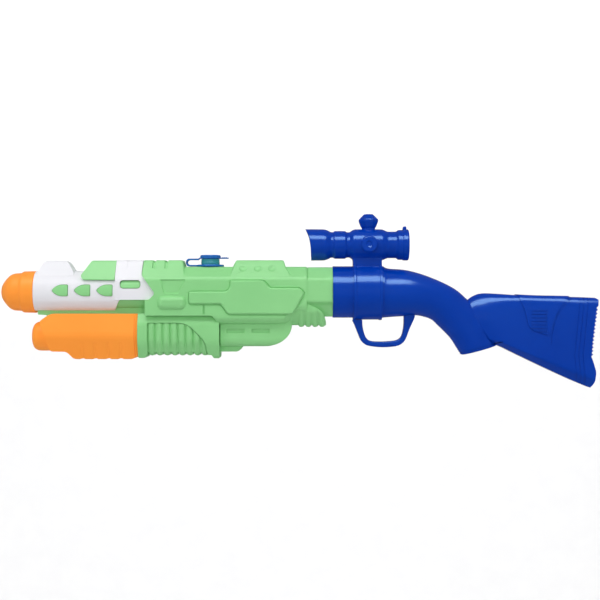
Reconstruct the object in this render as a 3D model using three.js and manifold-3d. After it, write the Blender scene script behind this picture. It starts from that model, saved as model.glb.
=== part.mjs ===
// A pump-action water squirter with a green body, white barrel shroud, orange nozzle and blue stock.
// Millimetres, +Z up. The barrel lies along X with the nozzle towards -X, and the left side faces -Y.
// x = 0 is where the stock meets the body. Every shell is moulded as a left and a right half.
import * as THREE from 'three';
import { mergeVertices } from 'three/addons/utils/BufferGeometryUtils.js';
import Module from 'manifold-3d';

const wasm = await Module();
wasm.setup();

// Fits
const wall = 2;
const seam = 0.3; // between the two halves of a shell
const fit = 0.3; // between pieces that seat on each other
const running = 0.5; // between pieces that slide

// Screws
const screwRadius = 1.3;
const screwHeadRadius = 2.7;
const screwHeadHeight = 1.8;
const screwSeat = 7; // y of the seat under the head
const screwTip = -8;
const screwFoot = 3.8; // radius of the post that takes the thread
const screwPost = screwHeadRadius + fit + 1;

// Barrel section
const shroudRadius = 21.9;
const shroudWall = 1.9;
const coreRadius = shroudRadius - shroudWall - fit;
const coreBore = coreRadius - wall;
const spigotRadius = coreRadius - 1.2;
const hoseRadius = 3;
const hoseBore = 1.9;
const pipeBore = hoseRadius + fit + 0.1;
const pipeRadius = pipeBore + 1.1;
const jetRadius = pipeRadius + fit + 0.9;
const orificeRadius = 1.2;

// Body section
const bodyHalfWidth = 26;
const panelRise = 1.6;
const bodyTop = 26.2;
const bodyTopHalfWidth = 13;
const shoulder = 14;
const hip = -16;
const bodyBottom = -shroudRadius - 2.6; // underside above the pump handle
const keel = bodyBottom - 6;
const keelHalfWidth = 13;
const blockTop = bodyTop + 6.8; // the raised blocks on top of the body
const blockTopHalfWidth = 12;
const blockFoot = 15;
const blockFootHalfWidth = bodyHalfWidth - 1.5;
const saddleTopHalfWidth = 11;
const collarRadius = 25.7; // half the height of the faceted collar round the stock
const collarHalfWidth = 25;

// Pump section
const pumpDrop = -bodyBottom + 19.5; // pump axis below the barrel axis
const podRadius = 12.7;
const podWall = 1.8;
const cylinderWall = 1.8;
const cylinderRadius = podRadius - podWall - running;
const cylinderBore = cylinderRadius - cylinderWall;
const glandRadius = cylinderRadius + fit + 1.6;
const glandFlange = 3;
const rodRadius = 3;
const rodHeadRadius = 7;
const rodHeadLength = 3;
const pistonLength = 9;
const ringThickness = 2.2; // O-ring cord
const ballRadius = 2.8;
const ballLift = 1.5;
const ballGap = 0.15; // so that a resting ball does not cut its faceted seat
const chamberRadius = hoseRadius + fit;
const seatRadius = 2;
const towerHeight = 16;

// Lengths, from the stock forwards
const collarLength = 27;
const podSetback = 15.5;
const podLength = 84.5;
const valveSetback = 25; // valve block behind the open front of the pod
const valveLength = 28;
const stroke = 55;
const pumpDeadLength = 33; // the cylinder's length for the piston and the gland
const gripLead = 11.7; // front of the grip ahead of the cylinder
const gripLap = 5; // front of the grip ahead of the body
const barrelLength = 113;
const nozzleLength = 36;
const nozzleSocketDepth = 14;
const bodyRear = -collarLength;
const podRear = bodyRear - podSetback;
const podFront = podRear - podLength;
const valveFront = podFront + valveSetback;
const outletX = valveFront + 9;
const inletX = valveFront + valveLength - 6;
const cylinderRear = valveFront - fit;
const cylinderFront = cylinderRear - stroke - pumpDeadLength;
const handleSplit = cylinderFront - gripLead; // between fore-end and grip
const bodyFront = handleSplit + gripLap;
const barrelFront = bodyFront - barrelLength;
const muzzle = barrelFront - nozzleLength;

// Details of body and shroud
const frontBlockLength = 41;
const sightBlockLength = 43;
const sightBlockSetback = 27;
const windowLength = 17;
const windowNose = 9;
const windowHeight = 11.3;
const windowRise = 1.5; // middle of a window above the barrel axis
const windowPitch = 23;
const windowCount = 3;
const windowSetback = 30; // last window ahead of the body

// Rail that carries the pump handle
const railStem = 10;
const railHead = 13;
const railHeadThickness = 2;
const handleTop = bodyBottom - fit;
const railHeadTop = handleTop - wall - running;
const railHeadBottom = railHeadTop - railHeadThickness;

// Pump handle
const gripRear = podFront + 9.5;
const gripShoulderX = gripRear - 6.9; // the body's underside steps down behind the grip here
const gripHalfWidth = 23;
const gripScrewZ = -pumpDrop - glandRadius - screwPost - 1;
const gripBottom = gripScrewZ - screwPost - 0.2;
const handleBottom = gripBottom - 4.3;
const foreHalfWidth = 22.5;
const noseFront = barrelFront - 3.5;
const noseDrop = pumpDrop + 2.2;
const noseRadius = 15.3;
const anchorX = handleSplit - 12; // front face of the rod head

// Stock
const tubeRadius = 27;
const spigotLength = 20;
const stockSpigotRadius = collarRadius - 3.5;
const bandFront = 21.5;
const bandLength = 30;
const bandThickness = 2.3;
const bandRear = bandFront + bandLength;
const wristStart = bandRear + 1.5;
const guardWidth = 12;
const pegHalf = 2;
const guardFront = bandFront + 5.5;
const guardRear = wristStart + 27.5;
const buttHalfWidth = 17.5;

// Tank and filler
const tankWall = 1.6;
const collarScrewX = -spigotLength - 6.5;
const tankFront = bodyFront + 35;
const tankRear = collarScrewX - screwPost - 2.5;
const tankBottom = bodyBottom + wall + 2 * hoseRadius + 2;
const neckRadius = 9.5;
const neckBore = neckRadius - 1.7;
const neckTop = bodyTop + 8.3;
const capRadius = neckRadius + 1.2;
const capTop = neckTop + 4.4;
const leashRadius = neckRadius + 4.7;
const strapWidth = 6;
const strapThickness = 1.2;
const strapReach = 25.5;
const hingeReach = 16;
const tabReach = 8.5;
const neckX = bodyFront + frontBlockLength + strapReach + 2.5;

// Scope
const scopeHeight = tubeRadius + 22.4;
const scopeFront = bandFront - 49.9;
const scopeRear = bandFront + 58.3;
const scopeRadius = 16.4;
const scopeNeckRadius = scopeRadius - 2.1;
const scopeBore = scopeRadius - 4.9;
const postHalfWidth = 9;
const turretX = bandFront + 16.3;

// Screw places in XZ
const bodyScrews = [
  [barrelFront + 26, 11],
  [bodyFront - 30, 11],
  [bodyFront + 14, blockTop - 7.7],
  [bodyRear - sightBlockSetback - sightBlockLength / 2, bodyTop + 2.4],
  [collarScrewX, 13.5],
  [collarScrewX, -13.5],
  [podRear - 13, keel - 5.5],
];
const foreScrews = [[noseFront + 24, -noseDrop], [handleSplit - 36, -pumpDrop - 13]];
const gripScrews = [[handleSplit + 12, gripScrewZ], [gripRear - 17.5, gripScrewZ]];
const stockScrews = [
  [wristStart + 13, 0], [wristStart + 59, -11], [wristStart + 95, -50],
  [wristStart + 144, -14], [wristStart + 209, -20], [wristStart + 207, -68],
];
const scopeScrews = [bandFront + 8, bandRear - 8].map((x) => [x, tubeRadius + 6]);

// Colours
const plastic = (color, roughness) => new THREE.MeshStandardMaterial({ color, roughness, metalness: 0 });
const green = plastic('#8fd88c', 0.45);
const white = plastic('#f1f1f3', 0.35);
const orange = plastic('#ff9236', 0.4);
const blue = plastic('#0a3fae', 0.2);
const clear = plastic('#bfe3df', 0.3);
const grey = plastic('#b9bcc0', 0.5);
const rubber = plastic('#22252a', 0.7);
const steel = new THREE.MeshStandardMaterial({ color: '#a9adb3', roughness: 0.35, metalness: 1 });

// Solids
function toSolid(geometry) {
  geometry.deleteAttribute('normal');
  geometry.deleteAttribute('uv');
  const merged = mergeVertices(geometry, 1e-4);
  const corners = merged.index.array;
  const kept = [];
  for (let i = 0; i < corners.length; i += 3) {
    const [a, b, c] = corners.slice(i, i + 3);
    if (a !== b && b !== c && c !== a) kept.push(a, b, c);
  }
  const vertProperties = merged.attributes.position.array;
  return new wasm.Manifold(new wasm.Mesh({ numProp: 3, vertProperties, triVerts: new Uint32Array(kept) }));
}

// An outline of [x, y] corners. A third number rounds its corner, starting that far from it.
function shapeOf(points) {
  const shape = new THREE.Shape();
  points.forEach(([x, y, round = 0], i) => {
    const corner = new THREE.Vector2(x, y);
    const towards = ([px, py]) => new THREE.Vector2(px - x, py - y).setLength(round).add(corner);
    const start = round ? towards(points.at(i - 1)) : corner;
    if (i === 0) shape.moveTo(start.x, start.y);
    else shape.lineTo(start.x, start.y);
    if (round) {
      const end = towards(points[(i + 1) % points.length]);
      shape.quadraticCurveTo(x, y, end.x, end.y);
    }
  });
  shape.closePath();
  return shape;
}

// Moves every edge of a counter-clockwise outline inwards by d.
function inset(points, d) {
  const direction = (from, to) => new THREE.Vector2(to[0] - from[0], to[1] - from[1]).normalize();
  return points.map((p, i) => {
    const before = direction(points.at(i - 1), p);
    const after = direction(p, points[(i + 1) % points.length]);
    const step = d / (1 + before.dot(after));
    const [x, y, ...round] = p;
    return [x - (before.y + after.y) * step, y + (before.x + after.x) * step, ...round];
  });
}

// An outline in XZ, extruded across the toy from y0 to y1.
function across(points, y0, y1) {
  const options = { depth: y1 - y0, bevelEnabled: false, curveSegments: 3 };
  return toSolid(new THREE.ExtrudeGeometry(shapeOf(points), options).rotateX(Math.PI / 2).translate(0, y1, 0));
}

// An outline in YZ, extruded along the toy from x0 to x1.
function along(points, x0, x1) {
  const options = { depth: x1 - x0, bevelEnabled: false };
  const axes = new THREE.Matrix4().makeBasis(
    new THREE.Vector3(0, 1, 0), new THREE.Vector3(0, 0, 1), new THREE.Vector3(1, 0, 0));
  return toSolid(new THREE.ExtrudeGeometry(shapeOf(points), options).applyMatrix4(axes).translate(x0, 0, 0));
}

function box(x0, x1, y0, y1, z0, z1) {
  const geometry = new THREE.BoxGeometry(x1 - x0, y1 - y0, z1 - z0);
  return toSolid(geometry.translate((x0 + x1) / 2, (y0 + y1) / 2, (z0 + z1) / 2));
}

// A turned piece from [height, radius] corners, about an upright axis.
function turned(profile, sides) {
  const points = profile.map(([height, radius]) => new THREE.Vector2(radius, height));
  if (THREE.ShapeUtils.area(points) < 0) points.reverse();
  const closed = profile.every(([, radius]) => radius > 0);
  if (closed) points.push(points[0].clone());
  return new THREE.LatheGeometry(points, sides);
}
const turnedX = (profile, z = 0, sides = 24) =>
  toSolid(turned(profile, sides).rotateZ(-Math.PI / 2).translate(0, 0, z));
const turnedY = (profile, x, z, sides = 8) => toSolid(turned(profile, sides).translate(x, 0, z));
const turnedZ = (profile, x, sides = 24) =>
  toSolid(turned(profile, sides).rotateX(Math.PI / 2).translate(x, 0, 0));

const rodX = (radius, x0, x1, z = 0, sides = 24) =>
  turnedX([[x0, 0], [x0, radius], [x1, radius], [x1, 0]], z, sides);
const rodY = (radius, y0, y1, x, z, sides = 8) =>
  turnedY([[y0, 0], [y0, radius], [y1, radius], [y1, 0]], x, z, sides);
const rodZ = (radius, z0, z1, x, sides = 20) =>
  turnedZ([[z0, 0], [z0, radius], [z1, radius], [z1, 0]], x, sides);

// Closed skin through rings of equally many points, capped at both ends.
function loft(rings) {
  const count = rings[0].length;
  const index = [];
  for (let i = 0; i + 1 < rings.length; i++) {
    for (let j = 0; j < count; j++) {
      const a = i * count + j;
      const b = i * count + ((j + 1) % count);
      index.push(a, a + count, b + count, a, b + count, b);
    }
  }
  const last = (rings.length - 1) * count;
  for (let j = 1; j + 1 < count; j++) {
    index.push(0, j, j + 1, last, last + j + 1, last + j);
  }
  const geometry = new THREE.BufferGeometry();
  geometry.setAttribute('position', new THREE.Float32BufferAttribute(rings.flat(2), 3));
  geometry.setIndex(index);
  return toSolid(geometry);
}

// A ring between a top and a bottom point in XZ. Squareness 2 is an ellipse and more is boxier.
function ringBetween(top, bottom, halfWidth, squareness, thinner, count = 20) {
  const middle = [(top[0] + bottom[0]) / 2, (top[1] + bottom[1]) / 2];
  const up = new THREE.Vector2(top[0] - bottom[0], top[1] - bottom[1]).multiplyScalar(0.5);
  up.setLength(up.length() - thinner);
  const superellipse = (v) => Math.sign(v) * Math.abs(v) ** (2 / squareness);
  return Array.from({ length: count }, (_, i) => {
    const angle = (i / count) * 2 * Math.PI;
    const rise = superellipse(Math.cos(angle));
    const side = superellipse(Math.sin(angle)) * (halfWidth - thinner);
    return [middle[0] + up.x * rise, side, middle[1] + up.y * rise];
  });
}

const far = 400;
const leftSide = box(-far, far, -far, -seam / 2, -far, far);
const rightSide = box(-far, far, seam / 2, far, -far, far);
const joined = (...solids) => solids.reduce((all, next) => all.add(next));
const mirrored = (solid) => solid.mirror([0, 1, 0]);
const bothSides = (solid) => solid.add(mirrored(solid));

// Splits a hollow shell into halves, with a post and a deep hole for every screw.
function halves(outer, hollow, screws) {
  let shell = outer.subtract(hollow);
  for (const [x, z] of screws) {
    const post = rodY(screwPost, screwTip - 3, far / 4, x, z);
    const foot = rodY(screwFoot, -far / 4, screwTip, x, z);
    shell = shell.add(joined(post, foot).intersect(outer));
  }
  for (const [x, z] of screws) {
    const hole = rodY(screwRadius + fit, screwTip - fit, far / 4, x, z);
    shell = shell.subtract(joined(hole, rodY(screwHeadRadius + fit, screwSeat, far / 4, x, z)));
  }
  return [shell.intersect(leftSide), shell.intersect(rightSide)];
}

function screw([x, z]) {
  const under = screwSeat + fit;
  const top = under + screwHeadHeight;
  return turnedY(
    [[screwTip, 0], [screwTip + 2, screwRadius], [under, screwRadius], [under, screwHeadRadius],
      [top, screwHeadRadius], [top, 0]], x, z, 8);
}

// A section from its left half, listed from the top down, and the mirror image of that half.
const wholeSection = (left) => [...left, ...left.toReversed().map(([y, z]) => [-y, z])];

// Body
const bodySection = wholeSection([
  [-bodyTopHalfWidth, bodyTop], [-bodyHalfWidth, shoulder], [-bodyHalfWidth, hip], [-keelHalfWidth, keel],
]);
const collarSection = wholeSection([
  [-12, collarRadius], [-collarHalfWidth, shoulder - 1], [-collarHalfWidth, -10], [-14, -collarRadius],
]);
const blockSection = wholeSection([[-blockTopHalfWidth, blockTop], [-blockFootHalfWidth, blockFoot]]);

// The line where the white shroud meets the body, from the top down.
const jointLine = [
  [bodyFront - 1.6, blockTop + 10], [bodyFront - 3, 18], [bodyFront + 11, -2], [bodyFront + 5, -8.2],
];

function bodyOutline() {
  return [
    ...jointLine.map(([x, z]) => [x, Math.min(z, bodyTop)]),
    [bodyFront, jointLine.at(-1)[1]], [bodyFront, bodyBottom],
    [gripShoulderX, bodyBottom], [gripShoulderX + 7.5, keel],
    [bodyRear, keel], [bodyRear, bodyTop],
  ];
}

function frontBlockOutline() {
  const rear = bodyFront + frontBlockLength;
  return [
    [bodyFront - 1.6, blockTop], [bodyFront - 3, 18], [bodyFront, blockFoot], [rear + 3, blockFoot],
    [rear + 1.8, bodyTop], [rear, blockTop],
  ];
}

function sightBlockOutline() {
  const rear = bodyRear - sightBlockSetback;
  const front = rear - sightBlockLength;
  return [
    [front, blockTop], [front - 6.5, bodyTop], [front - 10, blockFoot],
    [rear + 11.5, blockFoot], [rear + 5, bodyTop], [rear, blockTop],
  ];
}

// Raised side panel with a forward arm, and the rounded pad ahead of it.
function sidePanelOutline() {
  const x = bodyRear;
  return [
    [x - 121, 0], [x - 121, -12], [x - 88, -12], [x - 81, -22.5], [x - 14.7, -22.5], [x - 3, -1.5],
    [x - 7.5, 3.6], [x - 38, 3.6], [x - 45, 11.5], [x - 78.5, 11.5], [x - 78.5, 5], [x - 82.5, 0],
  ];
}

function sidePadOutline() {
  const x = bodyFront;
  return [[x + 16.5, -4.2, 3], [x + 16.5, -18.5, 6], [x + 46, -18.5, 6], [x + 46, -4.2, 3]];
}

function podOutline(thinner) {
  const bottom = -pumpDrop - podRadius + thinner;
  const shoulderRear = gripShoulderX + 4 + thinner;
  return [
    [podFront, railHeadTop], [podFront, bottom], [podRear - thinner, bottom, 25 - thinner],
    [podRear - thinner, keel + 10], [shoulderRear, keel + 10], [shoulderRear, railHeadTop],
  ];
}

function podSection(radius) {
  const bottom = Array.from({ length: 9 }, (_, i) => {
    const angle = Math.PI * (1 + i / 8);
    return [radius * Math.cos(angle), -pumpDrop + radius * Math.sin(angle)];
  });
  return [[-radius, keel + 10], ...bottom, [radius, keel + 10]];
}

function rail() {
  const section = wholeSection([
    [-railStem, -10], [-railStem, railHeadTop], [-railHead, railHeadTop], [-railHead, railHeadBottom],
  ]);
  return along(section, barrelFront + 3, podFront + 1);
}

// Barrel windows with a round nose and a flat rear
function windowOutline(start, grow) {
  const half = windowHeight / 2 + grow;
  const nose = Array.from({ length: 7 }, (_, i) => {
    const angle = Math.PI * (0.5 + i / 6);
    return [start + windowNose + (windowNose + grow) * Math.cos(angle), windowRise + half * Math.sin(angle)];
  });
  const rear = start + windowLength + grow;
  return [...nose, [rear, windowRise - half], [rear, windowRise + half]];
}
const windowStarts = Array.from({ length: windowCount }, (_, i) =>
  bodyFront - windowSetback - windowLength - i * windowPitch);

function slotOutline(grow) {
  const front = bodyFront - 22.5 - grow;
  const rear = bodyFront - 2 + grow;
  return [
    [front, 11.6 + grow, 3.5], [front, 3.8 - grow, 3.5], [rear, 3.8 - grow, 3.5], [rear, 11.6 + grow, 3.5],
  ];
}

// The green block on top of the barrel, seen through the shroud.
function barrelBlockOutline(grow) {
  const rear = bodyFront - 29.5;
  return inset([
    [rear - 25, blockTop - 0.2, 3], [rear - 36.5, 16, 3], [rear - 34, 11.5, 2],
    [rear, 11.5], [rear, blockTop - 0.2],
  ], -grow);
}

const saddleSection = wholeSection([
  [-saddleTopHalfWidth, blockTop], [-shroudRadius, 12], [-shroudRadius, -30],
]);

function barrelCore() {
  const reach = shroudRadius - 0.2;
  const proud = rodX(reach, barrelFront, bodyFront);
  const windows = windowStarts.map((x) => bothSides(across(windowOutline(x, 0), 8, far).intersect(proud)));
  const slot = bothSides(across(slotOutline(0), 8, reach));
  const block = across(barrelBlockOutline(0), -far, far)
    .intersect(along(inset(saddleSection, 0.2), barrelFront, bodyFront));
  const spigot = rodX(spigotRadius, barrelFront - nozzleSocketDepth + fit, barrelFront);
  return joined(rodX(coreRadius, barrelFront, bodyFront + 20), spigot, slot, block, ...windows);
}

function bodyShells() {
  const panel = across(sidePanelOutline(), bodyHalfWidth - 12, bodyHalfWidth + panelRise);
  const pad = across(sidePadOutline(), bodyHalfWidth - 12, bodyHalfWidth + panelRise);
  const pod = across(podOutline(0), -far, far).intersect(along(podSection(podRadius), podFront, podRear));
  const foot = -pumpDrop - podRadius;
  const podFoot = across([
    [podFront, foot + 4], [podFront, foot - 5.6], [podFront + 30, foot - 5.6, 2], [podFront + 34, foot + 4],
  ], -8, 8);
  const ribbed = across([
    [podRear + 1, hip], [podRear + 1, keel - 6.1, 2], [-6, keel - 6.1, 4], [-5, keel + 4.5, 3], [-10, hip],
  ], -11, 11);
  const shoulderBlocks = joined(
    across(frontBlockOutline(), -far, far), across(sightBlockOutline(), -far, far),
  ).intersect(along(blockSection, bodyFront - 10, bodyRear));
  const outer = joined(
    across(bodyOutline(), -far, far).intersect(along(bodySection, bodyFront - 10, bodyRear)),
    shoulderBlocks, bothSides(joined(panel, pad)), pod, podFoot, ribbed, rail(), barrelCore(),
    along(collarSection, bodyRear - 12, 0),
  );

  const room = along(inset(bodySection, wall), tankFront - 20, bodyRear - wall).intersect(
    box(-far, far, -far, far, bodyBottom + wall, far));
  const blockRoom = joined(
    across(inset(frontBlockOutline(), wall + 1), -far, far),
    across(inset(sightBlockOutline(), wall), -far, far),
  ).intersect(along(inset(blockSection, wall), bodyFront, bodyRear));
  const podBore = podRadius - podWall;
  const podRoom = across(podOutline(podWall), -far, far)
    .intersect(along(podSection(podBore), podFront - 1, podRear));
  const throat = box(podFront + 4, podRear - 6, -podBore, podBore, keel - 4, keel + 12);
  const socket = rodX(stockSpigotRadius + fit, -spigotLength - 2, 1);
  const bore = rodX(coreBore, barrelFront - far, tankFront - 18);
  const webs = [barrelFront + 12, bodyFront - 12].map(
    (x) => rodX(coreBore + 0.5, x, x + wall).subtract(rodX(pipeRadius + fit, x - 1, x + wall + 1)));
  const neckHole = rodZ(neckRadius + fit, 0, far, neckX);
  const rearRoom = rodX(stockSpigotRadius - 3, bodyRear - 10, 0);
  const rooms = joined(room, blockRoom, podRoom, throat, socket, rearRoom, bore);
  const hollow = rooms.subtract(joined(...webs)).add(neckHole);
  return halves(outer, hollow, bodyScrews);
}

// White shroud
function shroudOutline(gap) {
  const line = jointLine.map(([x, z], i) => [x - gap, z + (i > 1 ? gap : 0)]).reverse();
  return [
    [barrelFront, far / 8], [barrelFront, -far / 8], [bodyFront - 33, -far / 8],
    [bodyFront - 32, -shroudRadius], [bodyFront - 24, line[0][1]], ...line,
  ];
}

function shroudShells() {
  const humpTop = blockTop - 0.4;
  const hump = across([
    [barrelFront + 9.5, humpTop, 1], [barrelFront + 3, 20],
    [barrelFront + 41, 20], [barrelFront + 33.5, humpTop, 1],
  ], -far, far).intersect(along(wholeSection([[-7, blockTop], [-16, 13]]), barrelFront, bodyFront));
  const saddle = along(saddleSection, bodyFront - 29, bodyFront + 20);
  const outer = joined(rodX(shroudRadius, barrelFront, bodyFront + 20), saddle, hump)
    .intersect(across(shroudOutline(running), -far, far));
  const stemSlot = box(-far, far, -railStem - fit, railStem + fit, -far, 0);
  const windows = windowStarts.map((x) => across(windowOutline(x, fit), -far, far));
  const hollow = joined(
    rodX(coreRadius + fit, barrelFront - 1, far), stemSlot, across(slotOutline(fit), -far, far),
    across(barrelBlockOutline(fit), -far, far), ...windows,
  );
  return halves(outer, hollow, []);
}

const socketFloor = barrelFront - nozzleSocketDepth - 1;
const jetDepth = 9; // from the muzzle back to the jet insert
const pipeSeat = 6; // the pipe's length inside the jet insert, and the hose's inside the pipe
const pipeFront = socketFloor - pipeSeat + 2 * fit;
const pipeRear = bodyFront - 6;

function nozzleCap() {
  const rear = barrelFront - fit;
  const socket = spigotRadius + fit;
  return turnedX([
    [rear, socket], [rear, shroudRadius], [muzzle + 22, shroudRadius], [muzzle + 18, shroudRadius - 1.6],
    [muzzle + 9.5, shroudRadius - 1.9], [muzzle + 5.5, shroudRadius - 3.7], [muzzle + 2.5, shroudRadius - 6.9],
    [muzzle + 0.7, shroudRadius - 9.9], [muzzle, shroudRadius - 12.4], [muzzle, jetRadius + 2.5],
    [muzzle + jetDepth, jetRadius + fit + 0.6], [muzzle + jetDepth, jetRadius + fit],
    [socketFloor, jetRadius + fit], [socketFloor, socket],
  ], 0, 28);
}

function jetInsert() {
  const front = muzzle + jetDepth + 0.5;
  const seat = socketFloor + fit;
  const flange = jetRadius + 3.3;
  const socket = pipeRadius + fit;
  return turnedX([
    [front, orificeRadius], [front, jetRadius], [seat, jetRadius], [seat, flange], [seat + 3, flange],
    [seat + 3, socket], [seat - pipeSeat, socket], [seat - pipeSeat, orificeRadius],
  ], 0, 14);
}

function barrelPipe() {
  const ends = [[pipeFront, pipeBore], [pipeFront, pipeRadius], [pipeRear, pipeRadius], [pipeRear, pipeBore]];
  return turnedX(ends, 0, 16);
}

// Tank with its filler neck and the spout for the suction tube
function tank() {
  const gap = wall + 2 * fit;
  const outside = along(inset(bodySection, gap), tankFront, tankRear)
    .intersect(box(-far, far, -far, far, tankBottom, far));
  const inside = along(inset(bodySection, gap + tankWall), tankFront + tankWall, tankRear - tankWall)
    .intersect(box(-far, far, -far, far, tankBottom + tankWall, far));
  const neck = rodZ(neckRadius, bodyTop - 8, neckTop, neckX);
  const spout = rodZ(chamberRadius + 1.4, tankBottom - 4, tankBottom + 1, inletX, 16);
  const neckHole = rodZ(neckBore, 0, neckTop + 1, neckX);
  const spoutHole = rodZ(chamberRadius, tankBottom - 5, tankBottom + 3, inletX, 16);
  return joined(outside, neck, spout).subtract(joined(inside, neckHole, spoutHole));
}

// Filler cap with its pull tab, and the leash that ties it to the neck
const hingeX = neckX - hingeReach;
const strapTop = capTop - 3.8;

function fillerCap() {
  const skirtBottom = neckTop - 1.4;
  const cap = turnedZ([
    [neckTop + fit - 3.3, 0], [neckTop + fit - 3.3, neckBore - 0.7], [neckTop + fit, neckBore - 0.7],
    [neckTop + fit, neckRadius + 0.45], [skirtBottom, neckRadius + 0.45], [skirtBottom, capRadius],
    [capTop - 1.2, capRadius], [capTop, capRadius - 1.4], [capTop, 0],
  ], neckX, 24);
  const half = strapWidth / 2;
  const stub = box(hingeX + seam / 2, neckX - capRadius + 1, -half, half, strapTop - strapThickness, strapTop);
  const tabTop = skirtBottom + 1.2;
  const tab = box(neckX + capRadius - 0.8, neckX + capRadius + tabReach, -4, 4, skirtBottom, tabTop);
  return joined(cap, stub, tab);
}

function leash() {
  const low = bodyTop + fit;
  const hole = neckRadius + fit;
  const ring = rodZ(leashRadius, low, low + 2.6, neckX, 24).subtract(rodZ(hole, low - 1, low + 4, neckX, 24));
  const half = strapWidth / 2;
  const left = neckX - strapReach;
  const under = low + 0.5;
  const right = neckX - neckRadius - 2;
  const strap = across([
    [hingeX - seam / 2, strapTop], [left, strapTop, 4.2], [left, under, 3.6],
    [right, under], [right, under + strapThickness],
    [left + strapThickness, under + strapThickness, 2.6],
    [left + strapThickness, strapTop - strapThickness, 3],
    [hingeX - seam / 2, strapTop - strapThickness]], -half, half);
  return joined(ring, strap.subtract(rodZ(hole, 0, far, neckX)));
}

// Pump
const pistonRear = cylinderRear - 2;
const pistonFront = pistonRear - pistonLength;

function pumpCylinder() {
  return turnedX([
    [cylinderFront, cylinderBore], [cylinderFront, cylinderRadius],
    [cylinderRear, cylinderRadius], [cylinderRear, cylinderBore]], -pumpDrop, 20);
}

function cylinderGland() {
  const front = cylinderFront - glandFlange;
  const sleeve = cylinderFront + 6;
  return turnedX([
    [front, rodRadius + running], [front, glandRadius], [sleeve, glandRadius], [sleeve, cylinderRadius + fit],
    [cylinderFront - fit, cylinderRadius + fit], [cylinderFront - fit, rodRadius + running]], -pumpDrop, 20);
}

const grooveMiddle = pistonFront + pistonLength / 2;
const grooveHalf = ringThickness / 2 + fit;
const ringMiddle = cylinderBore - 0.2 - ringThickness / 2;

function piston() {
  const radius = cylinderBore - running;
  const grooveRadius = ringMiddle - ringThickness / 2 - fit;
  return turnedX([
    [pistonRear - 2, 0], [pistonRear - 2, rodRadius + fit], [pistonFront, rodRadius + fit],
    [pistonFront, radius], [grooveMiddle - grooveHalf, radius], [grooveMiddle - grooveHalf, grooveRadius],
    [grooveMiddle + grooveHalf, grooveRadius], [grooveMiddle + grooveHalf, radius],
    [pistonRear, radius], [pistonRear, 0]], -pumpDrop, 20);
}

function pistonRing() {
  const cord = Array.from({ length: 6 }, (_, i) => {
    const angle = (i / 6) * 2 * Math.PI;
    const half = ringThickness / 2;
    return [grooveMiddle + half * Math.sin(angle), ringMiddle + half * Math.cos(angle)];
  });
  return turnedX(cord, -pumpDrop, 20);
}

function pistonRod() {
  const tip = pistonRear - 2 - fit;
  return turnedX([
    [anchorX, 0], [anchorX, rodHeadRadius], [anchorX + rodHeadLength, rodHeadRadius],
    [anchorX + rodHeadLength, rodRadius], [tip, rodRadius], [tip, 0]], -pumpDrop, 20);
}

const outletSeat = -pumpDrop + 4.5;
const inletFloor = -pumpDrop - 1;
const outletBall = outletSeat + Math.sqrt(ballRadius ** 2 - seatRadius ** 2) + ballGap;
const inletBall = inletFloor + ballRadius + ballGap;
const hoseStart = outletBall + ballRadius + ballLift + fit;
const suctionEnd = inletBall + ballRadius + ballLift + fit;

function valveBlock() {
  const top = -pumpDrop + towerHeight;
  const tower = (x) => rodZ(chamberRadius + 1.8, -pumpDrop, top, x, 20);
  const holes = joined(
    rodX(seatRadius, valveFront - 1, inletX, -pumpDrop, 16),
    rodZ(seatRadius, -pumpDrop, outletSeat + 1, outletX, 16),
    rodZ(chamberRadius, outletSeat, top + 1, outletX, 16),
    rodZ(chamberRadius, inletFloor, top + 1, inletX, 16),
  );
  const block = rodX(cylinderRadius, valveFront, valveFront + valveLength, -pumpDrop, 20);
  return joined(block, tower(outletX), tower(inletX)).subtract(holes);
}

const ball = (x, z) =>
  toSolid(new THREE.SphereGeometry(ballRadius, 10, 6).rotateX(Math.PI / 2).translate(x, 0, z));

function suctionTube() {
  const top = tankBottom - fit;
  const ends = [[suctionEnd, hoseBore], [suctionEnd, hoseRadius], [top, hoseRadius], [top, hoseBore]];
  return turnedZ(ends, inletX, 12);
}

// Outlet hose from the valve block, forward under the tank and into the rear of the barrel pipe
function outletHose() {
  const under = tankBottom - 1 - hoseRadius;
  const route = [
    [outletX, hoseStart], [outletX, hoseStart + 4], [outletX - 1.5, under - 5], [outletX - 6, under - 1.3],
    [outletX - 12, under], [outletX - 27, under], [tankFront + 12, under], [tankFront - 3, under + 0.7],
    [tankFront - 14, under * 0.68], [tankFront - 23, under * 0.28], [tankFront - 32, under * 0.04],
    [pipeRear, 0], [pipeRear - pipeSeat, 0],
  ];
  const path = new THREE.CatmullRomCurve3(route.map(([x, z]) => new THREE.Vector3(x, 0, z)));
  const section = new THREE.Shape().absarc(0, 0, hoseRadius, 0, 2 * Math.PI);
  section.holes.push(new THREE.Path().absarc(0, 0, hoseBore, 0, 2 * Math.PI, true));
  const options = { steps: 20, curveSegments: 3, bevelEnabled: false, extrudePath: path };
  return toSolid(new THREE.ExtrudeGeometry(section, options));
}

// Pump handle
const foreSection = wholeSection([
  [-16, handleTop + 4.8], [-foreHalfWidth, -pumpDrop + 6],
  [-foreHalfWidth, -pumpDrop - 6], [-14, handleBottom - 0.7],
]);
const gripSection = wholeSection([
  [-17, handleTop + 4.8], [-gripHalfWidth, -pumpDrop + 13],
  [-gripHalfWidth, -pumpDrop - 11], [-15, handleBottom],
]);
const flangeTop = handleTop + 2.4; // the handle stands higher ahead of the body
const slideSlot = joined(
  box(-far, far, -railStem - running, railStem + running, railHeadBottom - running, 0),
  box(-far, far, -railHead - running, railHead + running, railHeadBottom - running, railHeadTop + running),
);

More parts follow.
